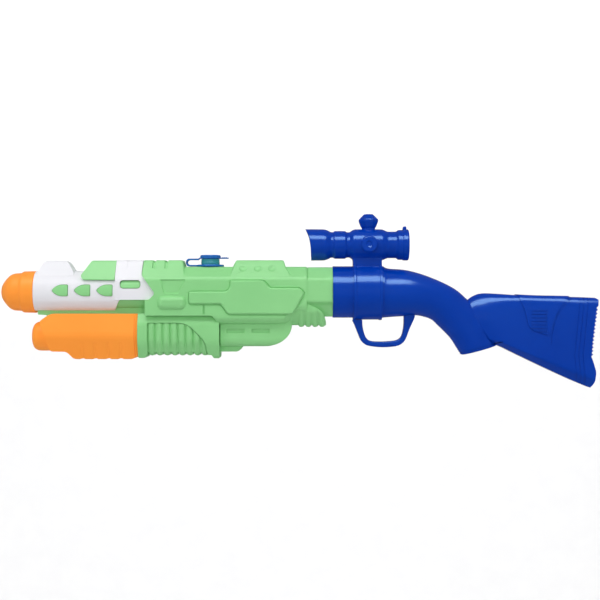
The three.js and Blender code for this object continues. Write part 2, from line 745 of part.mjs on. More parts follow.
function foreEndShells() {
  const rear = handleSplit;
  const under = -noseDrop - noseRadius;
  const outline = [
    [noseFront + 19.5, handleTop, 5], [noseFront + 7.5, handleTop - 7, 2], [noseFront + 7.5, under, 2],
    [noseFront + 34, under], [noseFront + 39, handleBottom, 2], [rear - 3.5, handleBottom, 1],
    [rear, handleBottom + 3.5], [rear, flangeTop], [rear - 25, flangeTop], [rear - 25, handleTop],
  ];
  const nose = turnedX([
    [noseFront, 0], [noseFront, noseRadius - 6.5], [noseFront + 1.5, noseRadius - 3.2],
    [noseFront + 4, noseRadius - 0.9], [noseFront + 7, noseRadius],
    [noseFront + 20, noseRadius], [noseFront + 20, 0]], -noseDrop, 24);
  const outer = joined(across(outline, -far, far).intersect(along(foreSection, noseFront, rear)), nose);
  const roof = box(-far, far, -far, far, -far, handleTop - wall);
  const body = along(inset(foreSection, wall), noseFront + 10, rear + 1)
    .intersect(across(inset(outline, wall), -far, far)).intersect(roof);
  const mouth = along(inset(foreSection, wall), rear - 20, rear + 1)
    .intersect(box(-far, far, -far, far, handleBottom + 5, handleTop - wall));
  const plate = (x) => along(inset(foreSection, 1), x, x + wall)
    .intersect(box(-far, far, -far, far, handleBottom + 3, railHeadBottom - running));
  const plates = joined(plate(anchorX - fit - wall), plate(anchorX + rodHeadLength + fit))
    .subtract(rodX(rodRadius + fit, anchorX, rear, -pumpDrop, 20));
  const tongue = joined(
    along(inset(foreSection, 1), rear - 4, rear), along(inset(foreSection, wall + 0.5), rear - 1, rear + 6),
  ).subtract(along(inset(foreSection, wall + 2), rear - 5, rear + 7))
    .intersect(box(-far, far, -far, far, -pumpDrop - 15, railHeadBottom - running - 1));
  const hollow = joined(body, mouth).subtract(plates).add(slideSlot);
  return halves(joined(outer, tongue), hollow.subtract(tongue), foreScrews);
}

function gripShells() {
  const front = handleSplit + fit;
  const outline = [
    [front, flangeTop], [front, handleBottom + 1.8, 3], [front + 9, handleBottom + 1.8, 1],
    [front + 12, gripBottom], [gripRear - 10.5, gripBottom], [gripRear - 7.5, handleBottom + 0.8, 2],
    [gripRear, handleBottom + 0.8, 1.5], [gripRear, keel - fit], [gripShoulderX - 0.8, handleTop],
    [bodyFront - 1, handleTop], [bodyFront - 1, flangeTop],
  ];
  const outer = across(outline, -far, far).intersect(along(gripSection, front, gripRear));
  const hollow = along(inset(gripSection, wall), front - 1, gripRear + 1)
    .intersect(box(-far, far, -far, far, gripBottom + wall, handleTop - wall));
  return halves(outer, hollow.add(slideSlot), gripScrews);
}

// Stock: a round tube that bends down into a pistol grip, and a butt behind it. x counts from wristStart.
const fromWrist = ([x, ...rest]) => [wristStart + x, ...rest];
const wrist = [
  // middle x, z, half height, half width, heading in degrees below level
  [fit - wristStart, 0, tubeRadius, tubeRadius, 0], [0, 0, tubeRadius, tubeRadius, 0],
  [5, -1, tubeRadius - 1.4, tubeRadius - 0.4, 2], [22, -1.4, tubeRadius - 2.6, tubeRadius - 2, 7],
  [42, -4.7, 21.6, 22, 25], [61.5, -12, 20.3, 19.5, 38], [73, -21.5, 20.5, 18, 48],
  [87.5, -36.5, 20.8, 17, 60], [95, -49.5, 20.2, 16.5, 69], [100.8, -60.9, 19.6, 16, 74.5],
].map(fromWrist);
const butt = [
  // top x, z, then bottom x from the top x, z, half width
  [85, -11.5, 27, -53.5, 12], [93.5, -4.7, 29.5, -57.2, 15], [104, -1.4, 29.5, -62.3, 16],
  [123, -2.1, 26, -69.8, 16.4], [154, -4.2, 19, -81.2, 16.8], [191, -5, 5.5, -91.9, buttHalfWidth],
  [221, -6, -4, -100.5, buttHalfWidth], [237, -7, -6, -107, buttHalfWidth],
].map(fromWrist);
const buttRear = [
  [225, -8.4], [222, -29.4], [219.4, -50.4], [218, -70.4], [221.8, -83], [220, -95], [215.5, -100.6],
].map(fromWrist);

function wristLoft(thinner) {
  return loft(wrist.map(([x, z, halfHeight, halfWidth, heading]) => {
    const tilt = THREE.MathUtils.degToRad(heading);
    const up = [Math.sin(tilt) * halfHeight, Math.cos(tilt) * halfHeight];
    const top = [x + up[0], z + up[1]];
    const bottom = [x - up[0], z - up[1]];
    return ringBetween(top, bottom, halfWidth, 2, thinner, thinner ? 12 : 20);
  }));
}

function buttLoft(thinner) {
  return loft(butt.map(([topX, topZ, reach, bottomZ, halfWidth]) =>
    ringBetween([topX, topZ], [topX + reach, bottomZ], halfWidth, 3, thinner, thinner ? 10 : 16)));
}

const pegHole = (x, low, high) =>
  box(x - pegHalf - fit, x + pegHalf + fit, -pegHalf - fit, pegHalf + fit, low, high);

function stockShells() {
  const toe = buttRear.at(-1)[0] - 10.5;
  const heel = buttRear[0][0] - 1.5;
  const cut = across([[-far / 8, far / 4], [-far / 8, -far / 2], [toe, -far / 2],
    ...buttRear.toReversed(), [heel, far / 4]], -far, far);
  const cutInside = across([[0, far / 4], [0, -far / 2], [toe, -far / 2],
    ...buttRear.toReversed().map(([x, z]) => [x - wall, z]), [heel - wall - 0.5, far / 4]], -far, far);
  const spigot = rodX(stockSpigotRadius, -spigotLength, 10);
  const outer = joined(wristLoft(0), buttLoft(0), spigot).intersect(cut);
  const inside = joined(wristLoft(wall), buttLoft(wall)).intersect(cutInside)
    .intersect(box(wall, far, -far, far, -far, far));
  const gripEnd = wrist.at(-1)[0];
  const gripFloor = across([[gripEnd - 54, -far], [gripEnd + 16, -far], [gripEnd + 16, -58.6],
    [gripEnd, -58.6], [gripEnd - 54, -73]], -far, far);
  const passage = rodX(stockSpigotRadius - wall, -spigotLength - 1, 12);
  const pegHoles = [guardFront, guardRear].map((x) => pegHole(x, -tubeRadius - 5, -tubeRadius + 8));
  const hollow = joined(inside.subtract(gripFloor), passage, ...pegHoles);
  return halves(outer, hollow, stockScrews);
}

function triggerGuard() {
  const frontTop = -tubeRadius - bandThickness - 2 * fit;
  const rearTop = -tubeRadius + 0.6;
  const front = bandFront;
  const rear = guardRear + 5.8;
  const low = -tubeRadius;
  const loop = across([
    [front - 0.6, frontTop], [front + 1.5, frontTop - 4], [front + 8, low - 21, 3],
    [front + 12, low - 28.5, 5], [front + 33, low - 31, 11], [rear - 13.3, low - 27.5, 5],
    [rear - 7.3, low - 15, 5], [rear, rearTop], [rear - 11.4, rearTop], [rear - 11.6, low - 9, 5],
    [rear - 14.3, low - 20.5, 5], [front + 33, low - 25, 10], [front + 15.5, low - 24, 4.5],
    [front + 10.5, low - 13, 4], [front + 9.6, frontTop],
  ], -guardWidth / 2, guardWidth / 2);
  const peg = (x, bottom) => box(x - pegHalf, x + pegHalf, -pegHalf, pegHalf, bottom - 1, low + 6);
  return joined(loop, peg(guardFront, frontTop), peg(guardRear, rearTop));
}

// Scope with its collar band round the stock tube
function scopeShells() {
  const neck = scopeNeckRadius;
  const wide = scopeRadius;
  const x = bandFront;
  const body = turnedX([
    [scopeFront - 4, 0], [scopeFront - 4, wide], [x - 26, wide], [x - 21, neck], [x - 6.2, neck + 0.5],
    [x - 5, neck - 0.8], [x - 3.5, neck - 0.8], [x - 1, wide], [x + 33, wide], [x + 36, neck], [x + 46, neck],
    [x + 47.5, wide], [scopeRear - 0.8, wide], [scopeRear, wide - 0.8], [scopeRear, 0]], scopeHeight, 28);
  const slant = across([
    [scopeFront, scopeHeight + 18], [scopeFront + 7.2, scopeHeight - 18], [scopeRear + 1, scopeHeight - 18],
    [scopeRear + 1, scopeHeight + 18]], -far, far);
  const top = scopeHeight + wide;
  const turret = turnedZ([
    [top - 2, 0], [top - 2, 7.2], [top + 1.6, 7.2], [top + 2.2, 8.4], [top + 8.1, 10.4], [top + 10.1, 10.4],
    [top + 15.8, 4.6], [top + 15.8, 0]], turretX, 16);
  const sideKnob = turnedY([
    [-wide - 3.2, 0], [-wide - 3.2, 6.6], [-wide - 2.2, 8.1], [-wide + 3.4, 8.1], [-wide + 3.4, 0],
  ], turretX, scopeHeight, 24);
  const fin = across([
    [scopeRear - 4.8, top - 1.4], [scopeRear - 0.8, top - 1.4], [scopeRear - 1.4, top + 3.4, 0.8],
    [scopeRear - 4.2, top + 1.6]], -1.2, 1.2);
  const post = box(bandFront, bandRear, -postHalfWidth, postHalfWidth, tubeRadius - 6, scopeHeight - 8);
  const band = rodX(tubeRadius + bandThickness + fit, bandFront, bandRear, 0, 28);
  const outer = joined(body.intersect(slant), turret, sideKnob, fin, post, band);
  const hollow = joined(
    rodX(scopeBore, scopeFront - 5, scopeRear + 1, scopeHeight, 20),
    rodX(tubeRadius + fit, bandFront - 1, bandRear + 1, 0, 28), pegHole(guardFront, -far / 4, 0));
  return halves(outer, hollow, scopeScrews);
}

// Assembly
const toy = new THREE.Group();

function place(name, solid, material) {
  const made = solid.getMesh();
  const geometry = new THREE.BufferGeometry();
  geometry.setAttribute('position', new THREE.BufferAttribute(made.vertProperties, 3));
  geometry.setIndex(new THREE.BufferAttribute(made.triVerts, 1));
  geometry.computeVertexNormals();
  const mesh = new THREE.Mesh(geometry, material);
  mesh.name = name;
  toy.add(mesh);
}

function placePair(name, [left, right], material) {
  place(`${name}_left`, left, material);
  place(`${name}_right`, right, material);
}

function placeScrews(name, places) {
  places.forEach((at, i) => place(`${name}_screw_${i + 1}`, screw(at), steel));
}

placePair('body_shell', bodyShells(), green);
placePair('shroud', shroudShells(), white);
place('nozzle_cap', nozzleCap(), orange);
place('jet_insert', jetInsert(), white);
place('barrel_pipe', barrelPipe(), clear);
place('tank', tank(), clear);
place('filler_cap', fillerCap(), blue);
place('cap_leash', leash(), blue);
place('pump_cylinder', pumpCylinder(), clear);
place('cylinder_gland', cylinderGland(), grey);
place('piston', piston(), grey);
place('piston_ring', pistonRing(), rubber);
place('piston_rod', pistonRod(), white);
place('valve_block', valveBlock(), grey);
place('inlet_ball', ball(inletX, inletBall), steel);
place('outlet_ball', ball(outletX, outletBall), steel);
place('suction_tube', suctionTube(), clear);
place('outlet_hose', outletHose(), clear);
placePair('fore_end', foreEndShells(), orange);
placePair('pump_grip', gripShells(), green);
placePair('stock', stockShells(), blue);
place('trigger_guard', triggerGuard(), blue);
placePair('scope', scopeShells(), blue);
placeScrews('body', bodyScrews);
placeScrews('fore_end', foreScrews);
placeScrews('grip', gripScrews);
placeScrews('stock', stockScrews);
placeScrews('scope', scopeScrews);

// The finished toy is centred on its own bounds.
const middle = new THREE.Box3().setFromObject(toy).getCenter(new THREE.Vector3());
toy.position.set(-middle.x, -middle.y, -middle.z);
const squirter = new THREE.Group();
squirter.add(toy);

export default squirter;
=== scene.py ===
import math

import bmesh
import bpy
from mathutils import Matrix, Vector


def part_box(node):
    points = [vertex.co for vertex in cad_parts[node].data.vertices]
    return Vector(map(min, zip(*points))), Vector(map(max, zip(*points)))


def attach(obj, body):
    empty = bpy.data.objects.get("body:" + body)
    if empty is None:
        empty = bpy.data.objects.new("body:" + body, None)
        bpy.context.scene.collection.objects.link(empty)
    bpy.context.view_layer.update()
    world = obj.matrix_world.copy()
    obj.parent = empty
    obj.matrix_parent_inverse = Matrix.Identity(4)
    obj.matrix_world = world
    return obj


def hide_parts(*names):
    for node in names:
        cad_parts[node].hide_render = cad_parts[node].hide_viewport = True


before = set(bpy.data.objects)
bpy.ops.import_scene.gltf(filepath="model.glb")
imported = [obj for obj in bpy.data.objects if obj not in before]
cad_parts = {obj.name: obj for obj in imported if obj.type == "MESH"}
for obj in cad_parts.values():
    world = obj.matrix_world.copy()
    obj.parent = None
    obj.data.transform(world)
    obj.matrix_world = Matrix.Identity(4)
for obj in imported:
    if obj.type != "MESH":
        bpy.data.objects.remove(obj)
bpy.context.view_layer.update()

scene = bpy.context.scene
for name in ("Cube", "Light", "Camera"):  # left over from a new file
    if name in bpy.data.objects:
        bpy.data.objects.remove(bpy.data.objects[name])
print("stage: frame loaded")

# Everything is drawn in millimetres: x = 0 where the stock meets the body, z = 0 on the barrel axis,
# the nozzle towards -x and the left side towards -y. toFrame takes it to the shared frame.
capLow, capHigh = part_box("nozzle_cap")
origin = (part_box("body_shell_left")[1].x, 0, (capLow.z + capHigh.z) / 2)
toFrame = Matrix.Translation(origin) @ Matrix.Scale(0.001, 4)
toDrawing = toFrame.inverted()


def nodeBox(node):
    low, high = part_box(node)
    return toDrawing @ low, toDrawing @ high


muzzle = nodeBox("nozzle_cap")[0].x
barrelFront = nodeBox("shroud_left")[0].x
bodyFront = nodeBox("tank")[0].x - 35  # the tank stands back from both ends of the body
bodyRear = nodeBox("tank")[1].x + 6
splitX = nodeBox("pump_grip_left")[0].x - 0.3
gripRear = nodeBox("pump_grip_left")[1].x
neckX = nodeBox("cap_leash")[1].x - 14.2
seam = 0.3  # between the left and right halves
pumpZ = -44  # axis of the pump


# Small tools for the meshes

def newObject(name, bm):
    bmesh.ops.recalc_face_normals(bm, faces=bm.faces[:])
    if bm.calc_volume(signed=True) < 0:
        bmesh.ops.reverse_faces(bm, faces=bm.faces[:])
    mesh = bpy.data.meshes.new(name)
    bm.to_mesh(mesh)
    bm.free()
    obj = bpy.data.objects.new(name, mesh)
    scene.collection.objects.link(obj)
    return obj


def rounded(corners, steps=5):
    points = []
    for i, corner in enumerate(corners):
        here = Vector(corner[:2])
        reach = corner[2] if len(corner) > 2 else 0
        if not reach:
            points.append(here)
            continue
        start = here + (Vector(corners[i - 1][:2]) - here).normalized() * reach
        end = here + (Vector(corners[(i + 1) % len(corners)][:2]) - here).normalized() * reach
        for k in range(steps + 1):
            t = k / steps
            points.append(start * (1 - t) ** 2 + here * 2 * t * (1 - t) + end * t * t)
    return points


def softened(corners, reach):
    return [(corner[0], corner[1], corner[2] if len(corner) > 2 else reach) for corner in corners]


def counterClockwise(points):
    area = sum(a.x * b.y - b.x * a.y for a, b in zip(points, points[1:] + points[:1]))
    return points if area > 0 else points[::-1]


def inset(points, amount):
    moved = []
    for i, here in enumerate(points):
        before = (here - points[i - 1]).normalized()
        after = (points[(i + 1) % len(points)] - here).normalized()
        step = amount / max(0.35, 1 + before.dot(after))
        moved.append(Vector((here.x - (before.y + after.y) * step, here.y + (before.x + after.x) * step)))
    return moved


def both(half):
    return half + [(-corner[0], *corner[1:]) for corner in reversed(half)]


def shifted(x, corners):
    # corners that are measured along x from a named place
    return [(x + corner[0], *corner[1:]) for corner in corners]


def lofted(rings, name="loft"):
    # a skin through rings of points, closed at both ends
    bm = bmesh.new()
    layers = [[bm.verts.new(point) for point in ring] for ring in rings]
    for lower, upper in zip(layers, layers[1:]):
        for i in range(len(lower)):
            j = (i + 1) % len(lower)
            bm.faces.new((lower[i], lower[j], upper[j], upper[i]))
    bm.faces.new(layers[0][::-1])
    bm.faces.new(layers[-1])
    return newObject(name, bm)


def stack(name, corners, rings, place):
    # rings are (inset, height) pairs, and place turns (u, v, height) into a point
    points = counterClockwise(rounded(corners))
    layers = [[place(p.x, p.y, height) for p in inset(points, amount)] for amount, height in rings]
    return lofted(layers, name)


def rimRings(low, high, rim, steps=4):
    if not rim:
        return [(0, low), (0, high)]
    turn = [k / steps * math.pi / 2 for k in range(steps + 1)]
    foot = [(rim * (1 - math.sin(a)), low + rim * (1 - math.cos(a))) for a in turn]
    return foot + [(amount, low + high - height) for amount, height in reversed(foot)]


def fromSide(u, v, height):
    return (u, height, v)


def slab(corners, low, high, rim=0):
    # an outline seen from the side, with thickness across y
    return stack("slab", corners, rimRings(low, high, rim), fromSide)


def rightThrough(corners, reach=40):
    # a slab that goes right through the toy, to cut or to trim with
    return slab(corners, -reach, reach)


def bar(corners, low, high, rim=0):
    # a section seen from the front, drawn along x
    return stack("bar", corners, rimRings(low, high, rim), lambda u, v, h: (h, u, v))


def plate(corners, low, high, rim=0):
    # an outline seen from above, with thickness along z
    return stack("plate", corners, rimRings(low, high, rim), lambda u, v, h: (u, v, h))


axes = {
    "x": lambda along, a, b: Vector((along, a, b)),
    "y": lambda along, a, b: Vector((a, along, b)),
    "z": lambda along, a, b: Vector((a, b, along)),
}


def turned(profile, axis="x", at=(0, 0, 0), sides=72):
    # profile is (along, radius, rounding) from end to end; radius 0 closes it on the axis
    bm = bmesh.new()
    rings = []
    for point in rounded(profile):
        if point.y < 1e-6:
            rings.append([bm.verts.new(axes[axis](point.x, 0, 0) + Vector(at))])
            continue
        turn = [2 * math.pi * (k + 0.5) / sides for k in range(sides)]
        rings.append([
            bm.verts.new(axes[axis](point.x, point.y * math.cos(a), point.y * math.sin(a)) + Vector(at))
            for a in turn])
    pairs = list(zip(rings, rings[1:]))
    if len(rings[0]) > 1:
        pairs.append((rings[-1], rings[0]))
    for first, second in pairs:
        for i in range(sides):
            j = (i + 1) % sides
            corner = [first[i % len(first)], first[j % len(first)], second[j % len(second)],
                second[i % len(second)]]
            bm.faces.new(list(dict.fromkeys(corner)))
    return newObject("turned", bm)


def rod(radius, low, high, axis="x", at=(0, 0, 0), rim=0, sides=72):
    return turned([(low, 0), (low, radius, rim), (high, radius, rim), (high, 0)], axis, at, sides)


def bake(obj):
    graph = bpy.context.evaluated_depsgraph_get()
    mesh = bpy.data.meshes.new_from_object(obj.evaluated_get(graph))
    old = obj.data
    obj.modifiers.clear()
    obj.data = mesh
    bpy.data.meshes.remove(old)
    return obj


def combine(base, operation, others):
    for other in others:
        modifier = base.modifiers.new("combine", "BOOLEAN")
        modifier.operation = operation
        modifier.solver = "MANIFOLD"
        modifier.object = other
        other.hide_render = True
    bake(base)
    for other in others:
        mesh = other.data
        bpy.data.objects.remove(other)
        bpy.data.meshes.remove(mesh)
    return base


def join(base, *others):
    return combine(base, "UNION", others)


def cut(base, *others):
    return combine(base, "DIFFERENCE", others)


def common(base, *others):
    return combine(base, "INTERSECT", others)


def twin(obj):
    copy = obj.copy()
    copy.data = obj.data.copy()
    scene.collection.objects.link(copy)
    return copy


def flipped(obj):
    obj.data.transform(Matrix.Scale(-1, 4, (0, 1, 0)))
    obj.data.flip_normals()
    return obj


def mirrored(obj):
    return flipped(twin(obj))


def tidyFaces(obj):
    bm = bmesh.new()
    bm.from_mesh(obj.data)
    bmesh.ops.remove_doubles(bm, verts=bm.verts[:], dist=0.004)
    bm.to_mesh(obj.data)
    bm.free()


def splitFaces(obj):
    bm = bmesh.new()
    bm.from_mesh(obj.data)
    many = [face for face in bm.faces if len(face.verts) > 4]
    bmesh.ops.triangulate(bm, faces=many, quad_method="BEAUTY", ngon_method="EAR_CLIP")
    bm.to_mesh(obj.data)
    bm.free()


def isClosed(obj):
    bm = bmesh.new()
    bm.from_mesh(obj.data)
    closed = all(edge.is_manifold for edge in bm.edges)
    bm.free()
    return closed


def softEdges(obj, width, angle=32, segments=3):
    # where a wide edge would tear the mesh, a narrower one is tried
    tidyFaces(obj)
    for share in (1, 0.75, 0.5, 0.3):
        before = obj.data.copy()
        modifier = obj.modifiers.new("soft", "BEVEL")
        modifier.width = width * share
        modifier.segments = segments
        modifier.limit_method = "ANGLE"
        modifier.angle_limit = math.radians(angle)
        modifier.miter_outer = "MITER_ARC"
        bake(obj)
        if isClosed(obj):
            bpy.data.meshes.remove(before)
            break
        obj.data = before
    return obj


def cubeBlock(low, high):
    bm = bmesh.new()
    bmesh.ops.create_cube(bm, size=1)
    for vert in bm.verts:
        vert.co = [low[k] if vert.co[k] < 0 else high[k] for k in range(3)]
    return newObject("block", bm)


# Materials: one recipe for every moulded finish, made metallic for the screws and valve balls

def nodeMaterial(name):
    material = bpy.data.materials.new(name)
    material.use_nodes = True
    tree = material.node_tree
    return material, tree, tree.nodes["Principled BSDF"]


def addNode(tree, kind, **values):
    node = tree.nodes.new(kind)
    for key, value in values.items():
        if key in node.inputs:
            node.inputs[key].default_value = value
        else:
            setattr(node, key, value)
    return node


def plastic(name, light, dark, roughness, spread=0.06, grain=0.02, gloss=0.5, sheen=(1, 1, 1), through=0.0,
        paintedGlow=0.0):
    # two close tints drift over the piece, and a fine grain breaks up the shine
    material, tree, shader = nodeMaterial(name)
    link = tree.links.new
    place = addNode(tree, "ShaderNodeTexCoord")
    drift = addNode(tree, "ShaderNodeTexNoise", Scale=14.0, Detail=3.0, Roughness=0.55)
    fine = addNode(tree, "ShaderNodeTexNoise", Scale=900.0, Detail=2.0, Roughness=0.6)
    tint = addNode(tree, "ShaderNodeValToRGB")
    tint.color_ramp.elements[0].position = 0.3
    tint.color_ramp.elements[0].color = (*dark, 1)
    tint.color_ramp.elements[1].position = 0.7
    tint.color_ramp.elements[1].color = (*light, 1)
    shine = addNode(tree, "ShaderNodeMapRange")
    shine.inputs["To Min"].default_value = roughness - spread / 2
    shine.inputs["To Max"].default_value = roughness + spread / 2
    bump = addNode(tree, "ShaderNodeBump", Strength=grain, Distance=0.0002)
    link(place.outputs["Object"], drift.inputs["Vector"])
    link(place.outputs["Object"], fine.inputs["Vector"])
    link(drift.outputs["Fac"], tint.inputs["Fac"])
    link(tint.outputs["Color"], shader.inputs["Base Color"])
    link(fine.outputs["Fac"], shine.inputs["Value"])
    link(shine.outputs["Result"], shader.inputs["Roughness"])
    link(fine.outputs["Fac"], bump.inputs["Height"])
    link(bump.outputs["Normal"], shader.inputs["Normal"])
    shader.inputs["IOR"].default_value = 1.5
    shader.inputs["Specular IOR Level"].default_value = gloss
    shader.inputs["Specular Tint"].default_value = (*sheen, 1)
    shader.inputs["Transmission Weight"].default_value = through
    # painted light: the glow is emission in the tint's colour, which brightens the piece as if it were lit
    # more
    if paintedGlow:
        link(tint.outputs["Color"], shader.inputs["Emission Color"])
        shader.inputs["Emission Strength"].default_value = paintedGlow
    return material


finish = {
    "green": plastic("greenPlastic", (0.31, 0.74, 0.30), (0.28, 0.70, 0.275), 0.36, gloss=0.2),
    "white": plastic("whitePlastic", (0.90, 0.90, 0.94), (0.87, 0.87, 0.91), 0.33, gloss=0.12),
    # the orange has a painted glow, emission that stands in for the light it catches and lets through
    "orange": plastic("orangePlastic", (1.0, 0.335, 0.05), (0.98, 0.31, 0.044), 0.36, gloss=0.22,
        sheen=(1.0, 0.75, 0.45), paintedGlow=0.16),
    "blue": plastic("bluePlastic", (0.0, 0.047, 0.45), (0.0, 0.04, 0.41), 0.18, gloss=0.62,
        sheen=(0.44, 0.76, 1.0)),
    # the cap and its leash are the same blue plastic, in a lighter copy that is painted light for their
    # brighter lit look
    "litCapBlue": plastic("litCapPlastic", (0.02, 0.16, 0.56), (0.016, 0.14, 0.51), 0.2, gloss=0.7,
        sheen=(0.6, 0.85, 1.0)),
    "teal": plastic("tealPlastic", (0.06, 0.46, 0.50), (0.05, 0.41, 0.46), 0.25, through=0.25),
    "clear": plastic("clearPlastic", (0.80, 0.88, 0.88), (0.76, 0.85, 0.86), 0.18, through=0.75),
    "grey": plastic("greyPlastic", (0.34, 0.35, 0.37), (0.30, 0.31, 0.33), 0.42),
    "rubber": plastic("blackRubber", (0.022, 0.022, 0.024), (0.017, 0.017, 0.019), 0.6, grain=0.05),
    "steel": plastic("zincSteel", (0.62, 0.62, 0.60), (0.54, 0.54, 0.53), 0.3),
}
finish["steel"].node_tree.nodes["Principled BSDF"].inputs["Metallic"].default_value = 1.0


def complete(obj, name, colour, body, *nodes, angle=36):
    obj.name = name
    obj.data.name = name
    tidyFaces(obj)
    splitFaces(obj)
    obj.data.transform(toFrame)
    obj.hide_render = False
    obj.data.materials.clear()
    obj.data.materials.append(finish[colour])
    obj.data.shade_smooth()
    obj.data.set_sharp_from_angle(angle=math.radians(angle))
    even = obj.modifiers.new("evenNormals", "WEIGHTED_NORMAL")
    even.keep_sharp = True
    even.weight = 60
    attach(obj, body)
    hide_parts(*nodes)


def completePair(shell, name, colour, body, node):
    other = twin(shell)
    wide = 500
    cut(shell, cubeBlock((-wide, -seam / 2, -wide), (wide, wide, wide)))
    cut(other, cubeBlock((-wide, -wide, -wide), (wide, seam / 2, wide)))
    complete(shell, name + "_left_skin", colour, body, node + "_left")
    complete(other, name + "_right_skin", colour, body, node + "_right")


# Screws are driven from the right side into every pair of halves

screws = {
    "headRadius": 2.7, "shankRadius": 1.5, "headLow": 7.3, "headHigh": 9.1, "tip": -7, "well": 3.1,
    "pitch": 1.1, "post": 4.6,
    "body": [(-284, 11), (-227, 11), (-183, 25.3), (-75.5, 28.6), (-26.5, 13.5), (-26.5, -13.5),
        (-55.5, -36)],
    "fore_end": [(-289.5, -46.2), (-238, -57)],
    "grip": [(-190, -61.3), (-135, -61.3)],
    "stock": [(66, 0), (112, -11), (148, -50), (197, -14), (262, -20), (260, -68)],
    "scope": [(29.5, 33), (43.5, 33)],
}


def wells(group):
    return [rod(screws["well"], screws["headLow"], 60, "y", (x, 0, z + 0.013), sides=36)
        for x, z in screws[group]]


def pilots(group):
    radius, low, high = screws["shankRadius"] + 0.05, screws["tip"] - 0.4, screws["headLow"] + 0.5
    return [rod(radius, low, high, "y", (x, 0, z + 0.007), sides=22) for x, z in screws[group]]


def pillars(group, depth):
    return [rod(screws["post"], -depth, depth, "y", (x, 0, z - 0.011), sides=44) for x, z in screws[group]]


# Barrel core, body, rear collar and pump pod: the green moulding

body = {
    "halfWidth": 26, "topHalfWidth": 13, "top": 26.2, "shoulder": 14, "hip": -16, "bottom": -24.5,
    "keel": -30.5, "keelHalfWidth": 13, "shoulderX": -124.4, "wall": 2,
    "sideHip": -28, "sideKeel": -33.2, "sideKeelHalfWidth": 19.5, "sideRear": -51, "footFront": -41,
    "blockTop": 33, "blockHalfWidth": 12, "blockFoot": 15, "blockFootHalfWidth": 24.5,
    "panelRise": 2.4, "padRise": 3.2, "gutterDepth": 1.7, "dimpleRadius": 7.8, "dimpleLift": 6.6,
    "fillerHole": 9.8, "ledgeRadius": 15,
}
pod = {
    "front": -127, "rear": -42.5, "radius": 12.7, "footRear": -95, "footBottom": -62.3, "footHalfWidth": 8,
    "cheek": 16.7, "cheekFront": gripRear + 0.8, "slotDepth": 1.7, "bore": 10.9, "tailLength": 29,
    "tailHeight": 22,
}
collar = {"front": bodyRear - 12, "halfWidth": 25, "halfHeight": 25.7, "socket": 22.5}
footRibs = {"count": 4, "first": -32.6, "pitch": 7.2, "halfLength": 3.1, "rim": 2.4}
core = {"radius": 19.7, "bore": 16.7, "spigot": 17.9, "windowReach": 22.1, "windowZ": 1.5,
    "windowLength": 17, "windowHeight": 11.3}
windowStarts = [bodyFront - 47.9, bodyFront - 70.9, bodyFront - 93.9]
slotHole = shifted(bodyFront, [(-22.5, 3.8, 3.6), (-2, 3.8, 3.6), (-2, 11.6, 3.6), (-22.5, 11.6, 3.6)])
barrelBlock = shifted(bodyFront, [(-53.2, 32.8, 2), (-63.8, 17, 2), (-61.5, 12.6, 2), (-28.6, 12.2, 1),
    (-27.8, 32.8, 1)])
jointLine = shifted(bodyFront, [(1.2, 43), (-0.4, 18, 2), (13.8, -2, 3), (7.6, -8.2, 2)])


def windowOutline(start, grow=0.0):
    half = core["windowHeight"] / 2 + grow
    length = core["windowLength"]
    z = core["windowZ"]
    return [
        (start + length + grow, z - half, 1.6), (start + length + grow, z + half, 1.6),
        (start + length * 0.42, z + half, 4.5),
        (start - grow * 1.4, z, 3.6), (start + length * 0.42, z - half, 4.5)]


def bodySection(hip, keel, keelHalfWidth, grow=0.0):
    b = body
    return both([
        (-b["topHalfWidth"] - grow * 0.5, b["top"] + grow, 2.5),
        (-b["halfWidth"] - grow, b["shoulder"] + grow * 0.5, 3.5),
        (-b["halfWidth"] - grow, hip - grow * 0.4, 3.5), (-keelHalfWidth - grow * 0.5, keel - grow, 3)])


def bodyBar():
    # the sides come lower in front, and draw in towards the rib block
    b = body
    side = (b["sideHip"], b["sideKeel"], b["sideKeelHalfWidth"])
    foot = (b["hip"], b["keel"], b["keelHalfWidth"])
    stations = [(bodyFront - 12, side), (b["sideRear"], side), (b["footFront"], foot), (bodyRear + 4, foot)]
    return lofted([[(x, p.x, p.y) for p in rounded(bodySection(*low))] for x, low in stations])


def blockSection(grow=0.0):
    b = body
    return both([
        (-b["blockHalfWidth"] - grow * 0.6, b["blockTop"] + grow, 2.2),
        (-b["blockFootHalfWidth"] - grow * 1.2, b["blockFoot"])])


def skinGroove(region, keep):
    # what is left of region outside keep is a groove of even depth
    return cut(region, keep)


